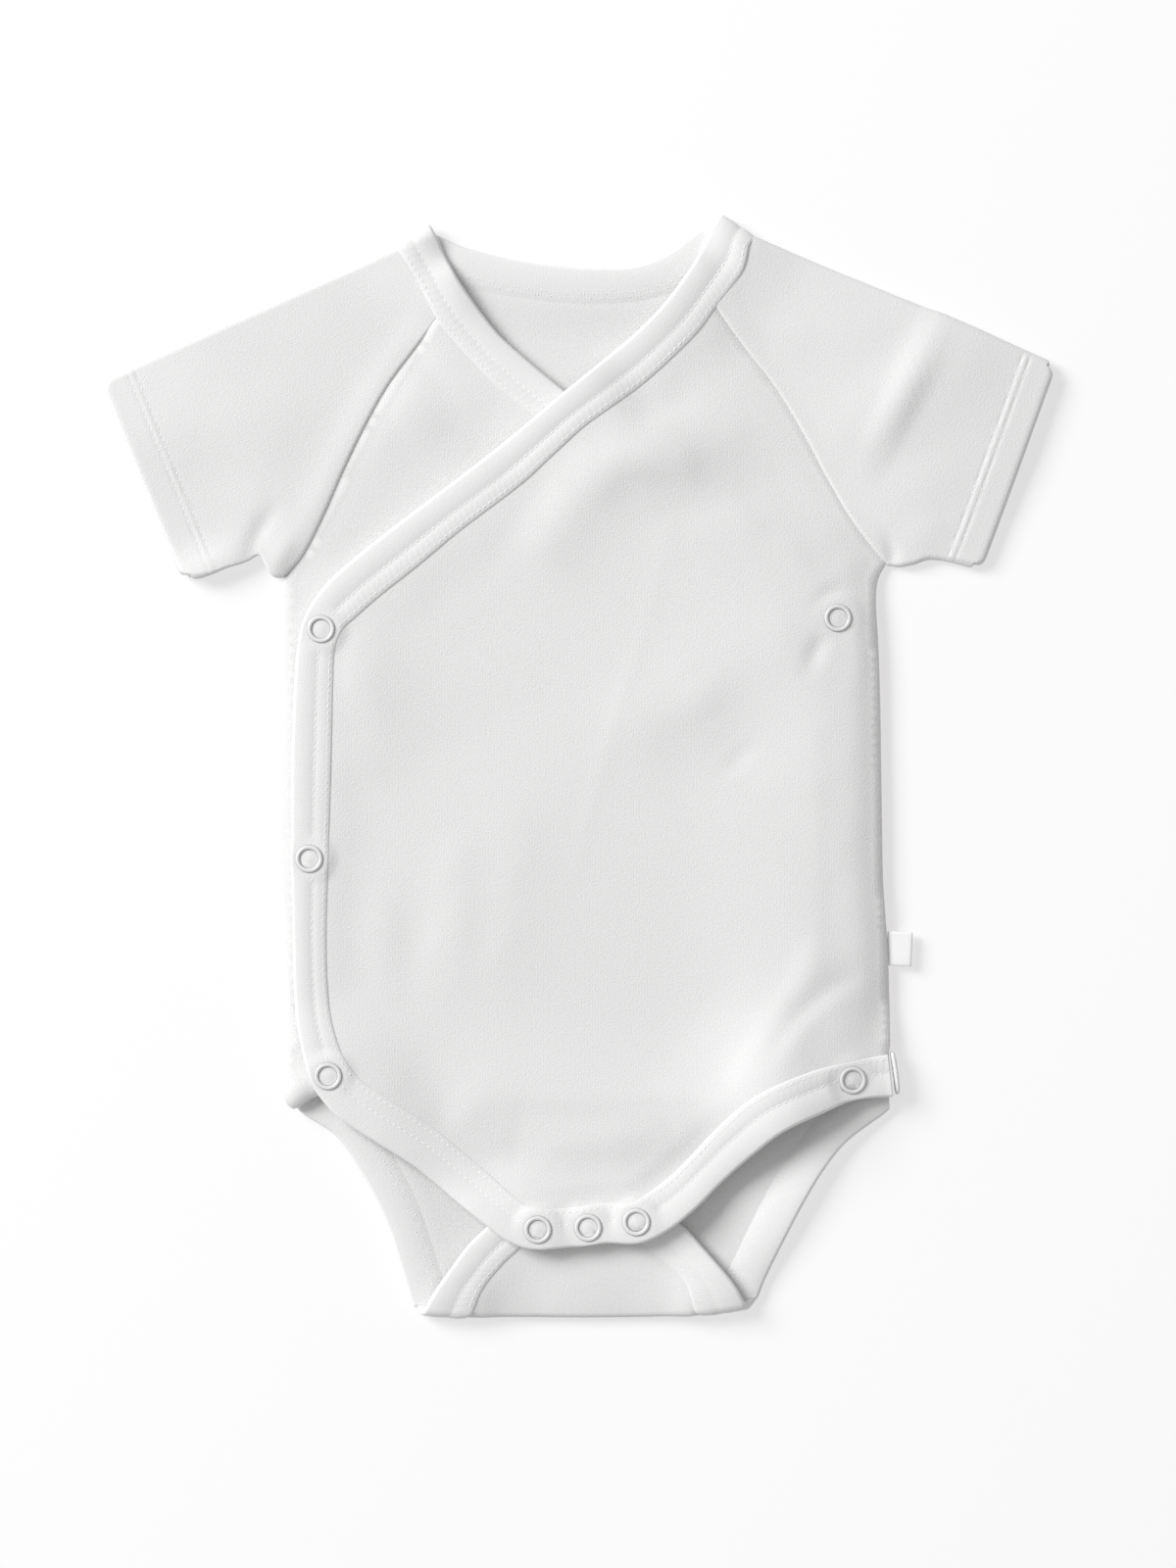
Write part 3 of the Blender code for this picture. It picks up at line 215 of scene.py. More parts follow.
SLEEVE_CREASES = (
    (10, 0.45, (96, 116), (116, 134), (136, 148)), (8, -0.4, (92, 132), (108, 146), (122, 156)),
    (10, -0.6, (92, 98), (110, 106), (128, 118)), (8, 0.5, (66, 152), (84, 148)),
    (7, 0.5, (112, 78), (128, 84)), (2.2, -1, (107.5, 68), (108.5, 75), (107, 80)),
    (12, 0.4, (-96, 120), (-128, 128)), (10, -0.4, (-112, 96), (-140, 106)),
    (3.6, 0.9, (-106, 66), (-104, 73), (-100.5, 80)),
    (3.4, -0.9, (-114, 72), (-112, 80), (-106.5, 89)), (22, 1.2, (58, 168), (90, 150), (120, 128)),
    (24, 2.4, (108, 136), (120, 130)), (8, 2.6, (-142, 64), (-127, 68), (-114, 75)),
)
UNDERARM_LIFT = ((-142.0, 63.0), (-128.0, 67.0), (-114.0, 74.0), (-103.0, 68.0))

# How far the sleeves' underarm edges arch in, along the way from armpit to cuff.
# share of the way, height
ARCH_RIGHT = (
    (0, 0), (0.07, 0.3), (0.13, 1.6), (0.17, 3.4), (0.21, 6), (0.25, 7.4), (0.30, 6.8), (0.36, 5.4),
    (0.44, 4.4), (0.58, 3.2), (0.72, 1.5), (0.86, 0.5), (1, 0),
)
ARCH_LEFT = (
    (0, 0), (0.09, -0.1), (0.20, 0.6), (0.30, 1.6), (0.38, 2.9), (0.46, 3.6), (0.58, 3.4),
    (0.71, 2.8), (0.85, 1.9), (0.94, 1.2), (1, 0.8),
)

# Relief of a tape, from its stitched edge towards its fold: its outer side where it stands proud and
# where it lies flat, and its inner side, which thins out towards the panel that it is stitched to.
# distance in, proud height, flat height
RELIEF = np.array((
    (0.0, -1.02, -1.12), (0.3, -0.78, -1.00), (0.8, -0.56, -0.88), (1.3, -0.53, -0.80),
    (1.9, -0.43, -0.68), (2.7, -0.36, -0.56), (3.6, -0.35, -0.46), (4.4, -0.41, -0.40),
    (5.0, -0.50, -0.37), (5.5, -0.56, -0.36), (6.0, -0.48, -0.28), (6.8, -0.30, -0.18),
    (7.9, -0.15, -0.11), (9.2, -0.08, -0.08),
))
# distance in, height
INNER_RELIEF = np.array((
    (0.0, -1.42), (0.5, -1.24), (1.1, -1.06), (1.8, -0.86), (2.7, -0.62), (3.7, -0.42),
    (4.8, -0.24), (6.2, -0.08), (7.6, 0.02), (9.2, 0.05),
))
NEEDLES = (1.3, 5.5)        # rows of stitches, from the stitched edge

# Corners of a sleeve's mesh: in from the cuff, in from the raglan seam, and round the cuff's corners.
HEM_MARKS = (0, 0.5, 1.1, 2.0, 3.2, 4.6, 6.0, 7.2, 8.0, 8.6, 9.1, 9.6, 10.2, 10.8, 11.3, 11.7, 12.2,
             12.9, 14.0)
SEAM_MARKS = np.array((1.8, 1.0, 0.45, 0.0))
CORNER_MARKS = np.array((0, 0.35, 0.9, 1.7, 2.7))
HEM_ROWS = (10, 15)         # the marks that the hem's stitches follow

# ---- lines, sections and meshes ----

def between(a, b, t):
    return tuple(p + (q - p) * t for p, q in zip(a, b))


def apart(a, b):
    return hypot(a[0] - b[0], a[1] - b[1])


def unit(vectors):
    return vectors / np.maximum(np.linalg.norm(vectors, axis=-1, keepdims=True), 1e-12)


def square_to(a, b):
    """The way square to a line between two points in plan, on its side towards the neck."""
    way = unit(np.array((a[1] - b[1], b[0] - a[0])))
    return way if way[1] > 0 else -way


def walked(points):
    """How far along a line each of its points is."""
    return np.concatenate([[0], np.cumsum(np.linalg.norm(np.diff(points, axis=0), axis=1))])


def read(marks, walk, values):
    """What a line's values come to at these marks along its walk."""
    return np.stack([np.interp(marks, walk, part) for part in np.asarray(values).T], axis=-1)


def smooth(t):
    t = np.clip(t, 0, 1)
    return t * t * (3 - 2 * t)


def stitch(row):
    return tuple(row[2:4])


def inner(row):
    return between(row[2:4], row[0:2], PANEL_REACH)


def stitches(rows):
    return [stitch(row) for row in rows]


def inners(rows):
    return [inner(row) for row in rows]


def finer(rows, pieces):
    """The same line on a smooth curve: this many steps for each of its own."""
    result = []
    for i in range(len(rows) - 1):
        before, a, b, after = rows[max(i - 1, 0)], rows[i], rows[i + 1], rows[min(i + 2, len(rows) - 1)]
        for k in range(pieces):
            t = k / pieces
            result.append(tuple(
                0.5 * (2 * q + (r - p) * t + (2 * p - 5 * q + 4 * r - s) * t ** 2
                       + (3 * q - p - 3 * r + s) * t ** 3)
                for p, q, r, s in zip(before, a, b, after)))
    return result + [tuple(rows[-1])]


def spaced(rows, step):
    """The same line on a smooth curve, with its points about a step apart."""
    fine = np.array(finer(rows, 24))
    walk = np.mean([walked(fine[:, k:k + 2]) for k in range(0, fine.shape[1], 2)], axis=0)
    marks = np.linspace(0, walk[-1], max(2, int(round(walk[-1] / step)) + 1))
    return [tuple(row) for row in read(marks, walk, fine)]


def edge_line(points):
    """An outline's stretch on a smooth curve, with points close enough for a soft rim."""
    return spaced(points, 1.8)


def bowed(a, b, bow, count):
    """A line between two points that bows to its left, or to its right where the bow is negative."""
    length = apart(a, b)
    points = []
    for k in range(count):
        x, y = between(a, b, k / (count - 1))
        swell = bow * sin(pi * k / (count - 1)) / length
        points.append((x - (b[1] - a[1]) * swell, y + (b[0] - a[0]) * swell))
    return points


def quads(rows, columns, closed=True):
    """Faces between the rows of a grid of corners, whose rows may be closed rings."""
    faces = []
    for j in range(rows - 1):
        for k in range(columns if closed else columns - 1):
            a, b = j * columns + k, j * columns + (k + 1) % columns
            faces.append([a, b, b + columns, a + columns])
    return faces


def turned_over(faces):
    return [[a, d, c, b] for a, b, c, d in faces]


# ---- heights over the floor ----

CELL = 1.0
GRID_X, GRID_Y = np.meshgrid(np.arange(-180, 181, CELL), np.arange(-206, 207, CELL))


def at(field, x, y):
    """A grid's value at any points."""
    u = np.clip((np.asarray(x) - GRID_X[0, 0]) / CELL, 0, GRID_X.shape[1] - 1.001)
    v = np.clip((np.asarray(y) - GRID_Y[0, 0]) / CELL, 0, GRID_X.shape[0] - 1.001)
    i, j = u.astype(int), v.astype(int)
    u, v = u - i, v - j
    south = field[j, i] * (1 - u) + field[j, i + 1] * u
    north = field[j + 1, i] * (1 - u) + field[j + 1, i + 1] * u
    return south * (1 - v) + north * v


def solid_points(node):
    return np.array([vertex.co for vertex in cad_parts[node].data.vertices]) / MM


def height_map(node, side):
    """The top (side 1) or the underside (side -1) of a solid, not a number where it isn't."""
    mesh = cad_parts[node].data
    mesh.calc_loop_triangles()
    faces = np.array([triangle.vertices for triangle in mesh.loop_triangles])
    start = np.array((GRID_X[0, 0], GRID_Y[0, 0]))
    result = np.full(GRID_X.shape, -np.inf)
    for corners in solid_points(node)[faces]:
        a, b, c = corners
        area = (b[0] - a[0]) * (c[1] - a[1]) - (c[0] - a[0]) * (b[1] - a[1])
        if area * side < 1e-6:
            continue
        west, south = ((corners.min(axis=0)[:2] - start) / CELL).astype(int)
        east, north = ((corners.max(axis=0)[:2] - start) / CELL).astype(int) + 2
        cells = slice(south, north), slice(west, east)
        x, y = GRID_X[cells] - a[0], GRID_Y[cells] - a[1]
        second = (x * (c[1] - a[1]) - (c[0] - a[0]) * y) / area
        third = ((b[0] - a[0]) * y - x * (b[1] - a[1])) / area
        within = (second > -1e-6) & (third > -1e-6) & (second + third < 1 + 1e-6)
        height = side * (a[2] + second * (b[2] - a[2]) + third * (c[2] - a[2]))
        result[cells] = np.maximum(result[cells], np.where(within, height, -np.inf))
    return np.where(np.isfinite(result), side * result, np.nan)


def blurred(values, sigma):
    rows, columns = np.fft.fftfreq(values.shape[0])[:, None], np.fft.rfftfreq(values.shape[1])
    gain = np.exp(-2 * (pi * sigma / CELL) ** 2 * (rows ** 2 + columns ** 2))
    return np.fft.irfft2(np.fft.rfft2(values) * gain, s=values.shape)


def softened(values, sigma):
    """A map blurred within what is known of it, and carried on smoothly beyond."""
    known = np.isfinite(values)
    filled = np.where(known, values, 0)
    result = np.full(values.shape, filled[known].mean())
    for spread in [width for width in (60, 24, 9) if width > sigma] + [sigma]:
        weight = blurred(known.astype(float), spread)
        value = blurred(filled, spread) / np.maximum(weight, 1e-6)
        share = smooth(weight / 0.35)
        result = result * (1 - share) + value * share
    return result


def joined(*maps):
    """One map from several, the first that is known at each point."""
    result = np.full(GRID_X.shape, np.nan)
    for values in maps:
        result = np.where(np.isfinite(result), result, values)
    return result


def line_at(points):
    """How far each point of the grid is from a line, and how far along the line, from 0 to 1."""
    best, where, done = np.full(GRID_X.shape, 1e6), np.zeros(GRID_X.shape), 0.0
    total = sum(apart(a, b) for a, b in zip(points, points[1:]))
    for (ax, ay), (bx, by) in zip(points, points[1:]):
        dx, dy = bx - ax, by - ay
        length = hypot(dx, dy)
        t = np.clip(((GRID_X - ax) * dx + (GRID_Y - ay) * dy) / length ** 2, 0, 1)
        away = np.hypot(GRID_X - ax - t * dx, GRID_Y - ay - t * dy)
        where = np.where(away < best, (done + t * length) / total, where)
        best = np.minimum(best, away)
        done += length
    return best, where


def distance(points):
    return line_at(points)[0]


def creases(table):
    """Soft ridges and troughs along lines, fading at their ends."""
    total = np.zeros(GRID_X.shape)
    for width, height, *points in table:
        away, along = line_at(finer(points, 6))
        total += height * (0.35 + 0.65 * np.sin(pi * along)) * np.exp(-(away / width) ** 2)
    return total


def dome(x, y, wide, long, height):
    return height * np.exp(-((GRID_X - x) / wide) ** 2 - ((GRID_Y - y) / long) ** 2)


def inside(outline):
    result = np.zeros(GRID_X.shape, bool)
    for (ax, ay), (bx, by) in zip(outline, outline[1:] + outline[:1]):
        if ay != by:
            crosses = (ay > GRID_Y) != (by > GRID_Y)
            result ^= crosses & (GRID_X < (bx - ax) * (GRID_Y - ay) / (by - ay) + ax)
    return result


def strip(rows):
    return [row[:2] for row in rows] + stitches(reversed(rows))


# ---- where a point of cloth goes: flat point and distances out of the cloth to points in space ----

def fold_line(x):
    rise = CROTCH_RISE_RIGHT if x < 0 else CROTCH_RISE_LEFT
    return CROTCH_FOLD + rise * min(abs(x - 2) / CROTCH_CORNER, 1.1) ** 3


def on_floor(rows):
    return [(row[0], fold_line(row[0]), row[2], fold_line(row[2])) if row[1] is None else row
            for row in rows]


def unfolded(x, y):
    return 2 * fold_line(x) - CROTCH_TURN - y


def leg_sections(leg, flap):
    """A back leg tape in the back panel's own flat coordinates, round the crotch fold."""
    rows = on_floor(leg)
    first, last = leg[-1], flap[0]
    for k in range(1, 5):
        free, seam = (first[i] + (last[i] - first[i]) * k / 4 for i in (0, 2))
        turned = CROTCH_TURN * k / 4
        rows.append((free, fold_line(free) - turned, seam, fold_line(seam) - turned))
    for free_x, free_y, seam_x, seam_y in flap[1:]:
        rows.append((free_x, unfolded(free_x, free_y), seam_x, unfolded(seam_x, seam_y)))
    return rows


def over(field, side=1):
    """Cloth on a layer, whose outer side faces up, or down where side is -1."""
    return lambda x, y, out: np.stack([x + 0 * out, y + 0 * out, at(field, x, y) + side * out], axis=-1)


def under(field):
    return over(field, -1)


def turning(angle, low, high, outward, more=0.0):
    """Cloth on its way round an edge: angle 0 at the upper layer and pi at the lower."""
    def place(x, y, out):
        top, bottom = at(high, x, y), at(low, x, y)
        reach = (top - bottom) / 2 + out
        side = (reach + more) * sin(angle)
        return np.stack([x + outward[0] * side, y + outward[1] * side,
                         (top + bottom) / 2 + reach * cos(angle)], axis=-1)
    return place


def on_back(low, flap):
    """Cloth of the back panel, from its flat coordinates."""
    def place(x, v, out):
        fold = fold_line(x)
        if v >= fold - 1e-6:
            return under(low)(x, v, out)
        if v <= fold - CROTCH_TURN + 1e-6:
            return over(flap)(x, unfolded(x, v), out)
        angle = pi * (1 - (fold - v) / CROTCH_TURN)
        return turning(angle, low, flap, (0, -1))(x, fold, out)
    return place


# ---- shells ----

def cut(outline, lines, step):
    """A panel's outline filled with corners, also along these lines: flat points and faces."""
    points = [Vector(p) for p in outline]
    edges = [(k, (k + 1) % len(outline)) for k in range(len(outline))]
    for line in lines:
        edges += [(len(points) + k, len(points) + k + 1) for k in range(len(line) - 1)]
        points += [Vector(p) for p in line]
    taken = np.array([tuple(points[a].lerp(points[b], t)) for a, b in edges for t in (0, 0.5)])
    low, high = taken.min(axis=0), taken.max(axis=0)
    size = np.ceil((high - low) / step).astype(int) + 2
    crowded = np.zeros(size, bool)
    for shift_x in (0.0, 0.5, 1.0):
        for shift_y in (0.0, 0.5, 1.0):
            cells = ((taken - low) / step + (shift_x, shift_y)).astype(int)
            crowded[tuple(np.clip(cells, 0, size - 1).T)] = True
    row, y = 0, low[1]
    while y < high[1]:
        for x in np.arange(low[0] + (row % 2) * step / 2, high[0], step):
            if not crowded[int((x - low[0]) / step + 0.5), int((y - low[1]) / step + 0.5)]:
                points.append(Vector((x, y)))
        y += step * 0.87
        row += 1
    corners, _, faces, *_ = delaunay_2d_cdt(points, edges, [list(range(len(outline)))], 1, 1e-4)
    used = sorted({k for face in faces for k in face})
    number = {k: n for n, k in enumerate(used)}
    return np.array([corners[k][:] for k in used]), [[number[k] for k in face] for face in faces]


def corner_normals(points, faces):
    normals = np.zeros(points.shape)
    for size in sorted({len(face) for face in faces}):
        group = np.array([face for face in faces if len(face) == size])
        a, b, c, d = (points[group[:, k]] for k in (0, 1, 2, -1))
        across = np.cross(b - a, c - a) + np.cross(c - a, d - a)
        for k in range(size):
            np.add.at(normals, group[:, k], across)
    return unit(normals)


def shell(points, faces, up, down, uv):
    """Closes a surface into a wall with a rounded rim."""
    count = len(points)
    up, down = (np.broadcast_to(part, count)[:, None] for part in (up, down))
    normals = corner_normals(points, faces)
    edges = {(a, b) for face in faces for a, b in zip(face, face[1:] + face[:1])}
    border = sorted((a, b) for a, b in edges if (b, a) not in edges)
    outward = np.zeros(points.shape)
    for a, b in border:
        outward[[a, b]] += unit(np.cross(points[b] - points[a], normals[a]))
    rim = sorted({a for a, _ in border})
    number = {k: 2 * count + n for n, k in enumerate(rim)}
    middle, reach = (up - down)[rim] / 2, (up + down)[rim] * 0.42
    all_points = np.concatenate([points + normals * up, points - normals * down,
                                 points[rim] + normals[rim] * middle + unit(outward[rim]) * reach])
    all_faces = [list(face) for face in faces]
    all_faces += [[k + count for k in reversed(face)] for face in faces]
    for a, b in border:
        all_faces += [[b, a, number[a], number[b]], [number[b], number[a], a + count, b + count]]
    return all_points, all_faces, np.concatenate([uv, uv, uv[rim]])


def put(name, data):
    item = bpy.data.objects.new(name, data)
    bpy.context.scene.collection.objects.link(item)
    return item


def add(name, points, faces, uv, finish, slot, replaced=None):
    """A piece of the garment."""
    mesh = bpy.data.meshes.new(name)
    mesh.from_pydata((np.asarray(points) * MM).tolist(), [], faces)
    mesh.materials.append(finish)
    mesh.shade_smooth()
    if uv is not None:
        corners = np.empty(len(mesh.loops), int)
        mesh.loops.foreach_get("vertex_index", corners)
        mesh.uv_layers.new(name="cloth").data.foreach_set("uv", np.asarray(uv)[corners].ravel())
    item = put(name, mesh)
    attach(item, "root")
    if replaced:
        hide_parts(replaced)
    return item


# ---- materials ----

class Nodes:
    """A material's node tree, built up one node a line."""

    def __init__(self, name, colour, roughness, more=()):
        self.material = bpy.data.materials.new(name)
        self.material.use_nodes = True
        self.tree = self.material.node_tree
        self.shader = self.tree.nodes["Principled BSDF"]
        for key, value in {"Base Color": (*colour, 1), "Roughness": roughness, **dict(more)}.items():
            self.shader.inputs[key].default_value = value

    def add(self, kind, inputs=(), **settings):
        node = self.tree.nodes.new("ShaderNode" + kind)
        for key, value in settings.items():
            setattr(node, key, value)
        for key, value in dict(inputs).items():
            if hasattr(value, "is_output"):
                self.tree.links.new(value, node.inputs[key])
            else:
                node.inputs[key].default_value = value
        return node

    def bump(self, texture, strength, depth):
        node = self.add("Bump", {"Height": texture, "Strength": strength, "Distance": depth * MM})
        self.tree.links.new(node.outputs["Normal"], self.shader.inputs["Normal"])

    def ramp(self, texture, marks):
        """Colours the surface by a ramp, whose marks are positions and colours."""
        node = self.add("ValToRGB", {"Fac": texture})
        elements = node.color_ramp.elements
        for k, (position, colour) in enumerate(marks):
            element = elements[k] if k < 2 else elements.new(position)
            element.position, element.color = position, (*colour, 1)
        self.tree.links.new(node.outputs["Color"], self.shader.inputs["Base Color"])


def knit_material(name, colour, wale, depth, shares, contrast):
    """Cotton knit: fine wales along V, courses along U, fuzz and a faint unevenness of colour."""
    made = Nodes(name, colour, 0.92,
                 {"Sheen Weight": 0.08, "Sheen Roughness": 0.5, "Specular IOR Level": 0.25})
    place = made.add("UVMap", uv_map="cloth").outputs["UV"]
    drift = made.add("TexNoise", {"Vector": place, "Scale": 0.35, "Detail": 2.0}).outputs["Color"]
    bent = made.add("MixRGB", {"Fac": 0.12, "Color1": place, "Color2": drift},
                    blend_type="ADD").outputs[0]
    textures = []
    for width, distortion, way in ((wale, 1.6, "X"), (wale * 0.85, 2.5, "Y")):
        bands = {"Vector": bent, "Scale": 0.314 / width, "Distortion": distortion, "Detail": 2.0,
                 "Detail Scale": 1.2}
        textures.append(made.add("TexWave", bands, bands_direction=way))
    grain = {"Vector": place, "Scale": 1.45, "Detail": 3.0, "Roughness": 0.6}
    textures.append(made.add("TexNoise", grain))
    loops = 0.0
    for texture, share in zip(textures, shares):
        loops = made.add("Math", {0: texture.outputs["Fac"], 1: share, 2: loops},
                         operation="MULTIPLY_ADD").outputs[0]
    made.bump(loops, 1.0, depth)
    patch = made.add("TexNoise", {"Vector": place, "Scale": 0.9, "Detail": 4.0, "Roughness": 0.7})
    shade = [part * (1 - contrast) for part in colour]
    made.ramp(patch.outputs["Fac"], ((0.3, shade), (0.7, colour)))
    return made.material


def enamel_material():
    """White enamel on a snap's ring, with painted shade and reflection in dark grey down both of its
    flanks.
    """
    made = Nodes("snap_enamel", (0.74, 0.74, 0.74), 0.36)
    place = made.add("UVMap", uv_map="cloth").outputs["UV"]
    across = made.add("SeparateXYZ", {"Vector": place}).outputs["Y"]
    # The ramp paints shade and reflection on both flanks, darker there than on the enamel band.
    marks = ((0.0, 0.33), (0.16, 0.38), (0.24, 0.74), (0.71, 0.74), (0.80, 0.38), (1.0, 0.33))
    made.ramp(across, [(position, (shade,) * 3) for position, shade in marks])
    flow = made.add("TexNoise", {"Vector": place, "Scale": 3.0, "Detail": 2.0})
    made.bump(flow.outputs["Fac"], 0.3, 0.04)
    return made.material


def plain_material(name, roughness, strength, kind, inputs, **settings):
    """Plain white with a fine relief."""
    made = Nodes(name, (0.86, 0.86, 0.86), roughness)
    place = made.add("TexCoord").outputs["Object"]
    texture = made.add(kind, {"Vector": place, **inputs}, **settings)
    made.bump(texture.outputs["Fac"], strength, 0.05)
    return made.material


knit = knit_material("cotton_interlock", (0.765, 0.765, 0.762), 0.95, 0.12, (0.09, 0.04, 1.4), 0.05)
ribbed = knit_material("cotton_tape", (0.785, 0.785, 0.782), 1.0, 0.10, (0.12, 0.04, 1.2), 0.03)
thread = plain_material("sewing_thread", 0.7, 0.4, "TexNoise", {"Scale": 2500.0, "Detail": 1.0})
satin = plain_material("label_satin", 0.6, 0.25, "TexWave", {"Scale": 900.0, "Distortion": 0.4},
                       bands_direction="Y")
enamel = enamel_material()

# ---- snaps ----

class Seat:
    """Where a snap's ring lies: the plane under it."""

    def __init__(self, node):
        points = solid_points(node)
        self.node = node
        self.x, self.y = (points.min(axis=0) / 2 + points.max(axis=0) / 2)[:2]
        # A ring is even all round, so its corners together give its tilt.
        plan = np.stack([points[:, 0] - self.x, points[:, 1] - self.y, np.ones(len(points))], axis=1)
        *self.slope, _ = np.linalg.lstsq(plan, points[:, 2], rcond=None)[0]
        self.level = (points[:, 2] - plan @ (*self.slope, 0)).min() - SNAP_SUNK

    def height(self, x, y):
        return self.level + self.slope[0] * (x - self.x) + self.slope[1] * (y - self.y)


seats = [Seat(node) for node in SNAPS]


def pressed(points, thickness):
    """Cloth that snaps press flat, with a small dome inside each ring and a soft rise round it."""
    for seat in seats:
        away = np.hypot(points[:, 0] - seat.x, points[:, 1] - seat.y)
        face = seat.height(points[:, 0], points[:, 1]) - thickness / 2
        face = face + SNAP_DOME * (1 - smooth(away / SNAP_BORE))
        near = (away < SNAP_RADIUS + 6) & (np.abs(points[:, 2] - face) < 1.6)
        share = 1 - smooth((away - SNAP_RADIUS - 0.2) / 5.0)
        lifted = points[:, 2] + (face - points[:, 2]) * share
        points[:, 2] = np.where(near, lifted, points[:, 2])
    return points


def snap_ring(seat):
    """A turned ring on its seat. Its map runs round it, and from its outer foot to its inner one."""
    out, bore = SNAP_RADIUS, SNAP_BORE
    # A rounded band between two narrow sloping flanks: radius, height, place across the map
    profile = ((out + 0.02, 0.02, 0.0), (out + 0.02, 0.18, 0.10), (out - 0.10, 0.38, 0.16),
               (out - 0.30, 0.54, 0.24), (out - 0.55, 0.64, 0.32), (out - 0.80, 0.68, 0.42),
               (bore + 0.75, 0.66, 0.55), (bore + 0.50, 0.60, 0.66), (bore + 0.28, 0.48, 0.74),
               (bore + 0.10, 0.34, 0.84), (bore, 0.22, 0.92), (bore, 0.02, 1.0),
               (bore + 0.3, 0.0, 1.0), (out - 0.3, 0.0, 0.0))
    turn = Vector((-seat.slope[0], -seat.slope[1], 1)).to_track_quat("Z", "Y").to_matrix()
    origin = Vector((seat.x, seat.y, seat.level))
    points, uv = [], []
    for k in range(SNAP_STEPS):
        angle = 2 * pi * k / SNAP_STEPS
        for radius, height, across in profile:
            points.append(origin + turn @ Vector((radius * cos(angle), radius * sin(angle), height)))
            uv.append((angle * 2, across))
    faces = [[k % len(points) for k in face] for face in quads(SNAP_STEPS + 1, len(profile))]
    add(seat.node + "_ring", [p[:] for p in points], turned_over(faces), uv, enamel, "snap", seat.node)


# ---- tapes and stitches ----

def sway(t):
    """A slow unevenness along a tape, between -1 and 1."""
    return (sin(t / 7.3 + 1.0) + sin(t / 11.9 + 2.1) + 0.6 * sin(t / 3.1 + 0.7)) / 2.6


def tape_section(outer_share, inner_share, along):
    """The middle of a folded tape's wall: distances from the stitched edge, and out of its plane."""
    swell = 1 + 0.25 * sway(along)
    points = []
    for reach, proud, flat in RELIEF:
        pucker = 0.06 * sin(2 * pi * along / STITCH_PITCH + 1.1 * reach) if 1.5 < reach < 4.6 else 0.0
        points.append((reach, TAPE_MIDDLE + flat + outer_share * ((proud - flat) * swell + pucker)))
    bend = TAPE_WIDTH - TAPE / 2 - TAPE_BEND
    for k in range(9):
        angle = pi / 2 - pi * k / 8
        rise = TAPE_MIDDLE - 0.08 if k < 4 else TAPE_MIDDLE
        points.append((bend + TAPE_BEND * cos(angle), rise * sin(angle)))
    for reach, height in reversed(INNER_RELIEF):
        points.append((reach, -TAPE_MIDDLE - inner_share * height))
    return np.array(points)


def tape_points(row, place, depths, outs):
    """Points of a tape, from their distances from its stitched edge and out of its plane."""
    near, far = place(*stitch(row), outs), place(*inner(row), outs)
    return near + (far - near) * (np.reshape(depths, (-1, 1)) / (TAPE_WIDTH * PANEL_REACH))


def tape(name, sections, along=0.0):
    """A tape's shell, and its girth and length. A section is a row, its place and shares of relief."""
    points, uv, before = [], [], None
    for row, place, outer_share, inner_share in sections:
        middle = place(*between(stitch(row), inner(row), 0.5), np.zeros(1))[0]
        if before is not None:
            along += float(np.linalg.norm(middle - before))
        before = middle
        profile = tape_section(outer_share, inner_share, along)
        points.append(tape_points(row, place, *profile.T))
        uv.append(np.stack([np.full(len(profile), along), walked(profile)], axis=1))
    size, uv = len(profile), np.concatenate(uv)
    points = pressed(np.concatenate(points), TAPE_SHELL)
    wall = shell(points, quads(len(sections), size, False), TAPE_SHELL / 2, TAPE_SHELL / 2, uv)
    item = add(name, *wall, ribbed, "tape", name)
    # Where two lengths of tape meet end to end, their faces run on without a soft rim.
    count = len(points)
    for edge in item.data.edges:
        a, b = (k % count if k < 2 * count else -1 for k in edge.vertices)
        if min(a, b) >= 0 and (max(a, b) < size or min(a, b) >= count - size):
            edge.use_edge_sharp = True
    return item, (uv[:, 1].max(), along)


def rounded(row, away, reach, depth):
    """A section with its fold drawn in, close to a corner."""
    drawn = depth * max(0, 1 - away / reach) ** 2 / apart(row[:2], row[2:])
    return (*between(row[:2], row[2:], drawn), *row[2:])


def run(rows, place, outer_share, inner_share):
    """Sections of a tape along these rows, with shares that may change from its start to its end."""
    sections = []
    for row, t in zip(rows, np.linspace(0, 1, len(rows))):
        row = rounded(row, min(apart(row, end) for end in (NECK_TAPE[0], NECK_TAPE[-1])), *TIP)
        share = float(outer_share(t)) if callable(outer_share) else outer_share
        sections.append((row, place, share, inner_share))
    return sections


def over_shoulder(row, high, outer_share):
    """Sections of the neck's tape as it turns from a front to the back at a shoulder."""
    way, row = square_to(row[:2], row[2:]), rounded(row, 0, *TIP)
    return [(row, turning(pi * k / 12, low, high, way, TIP_RISE), outer_share, 0.0)
            for k in range(1, 12)]


def on_tape(section, depth, side):
    """A point on a tape's outer (side 1) or inner (side -1) face, and the way up from it."""
    row, place, outer_share, inner_share = section
    if side > 0:
        proud, flat = read(depth, RELIEF[:, 0], RELIEF[:, 1:])
        height = flat + outer_share * (proud - flat)
    else:
        height = inner_share * np.interp(depth, *INNER_RELIEF.T)
    top, middle = tape_points(row, place, depth,
                              side * (TAPE_MIDDLE + height + np.array([TAPE_SHELL / 2, 0.0])))
    return top, unit(top - middle)


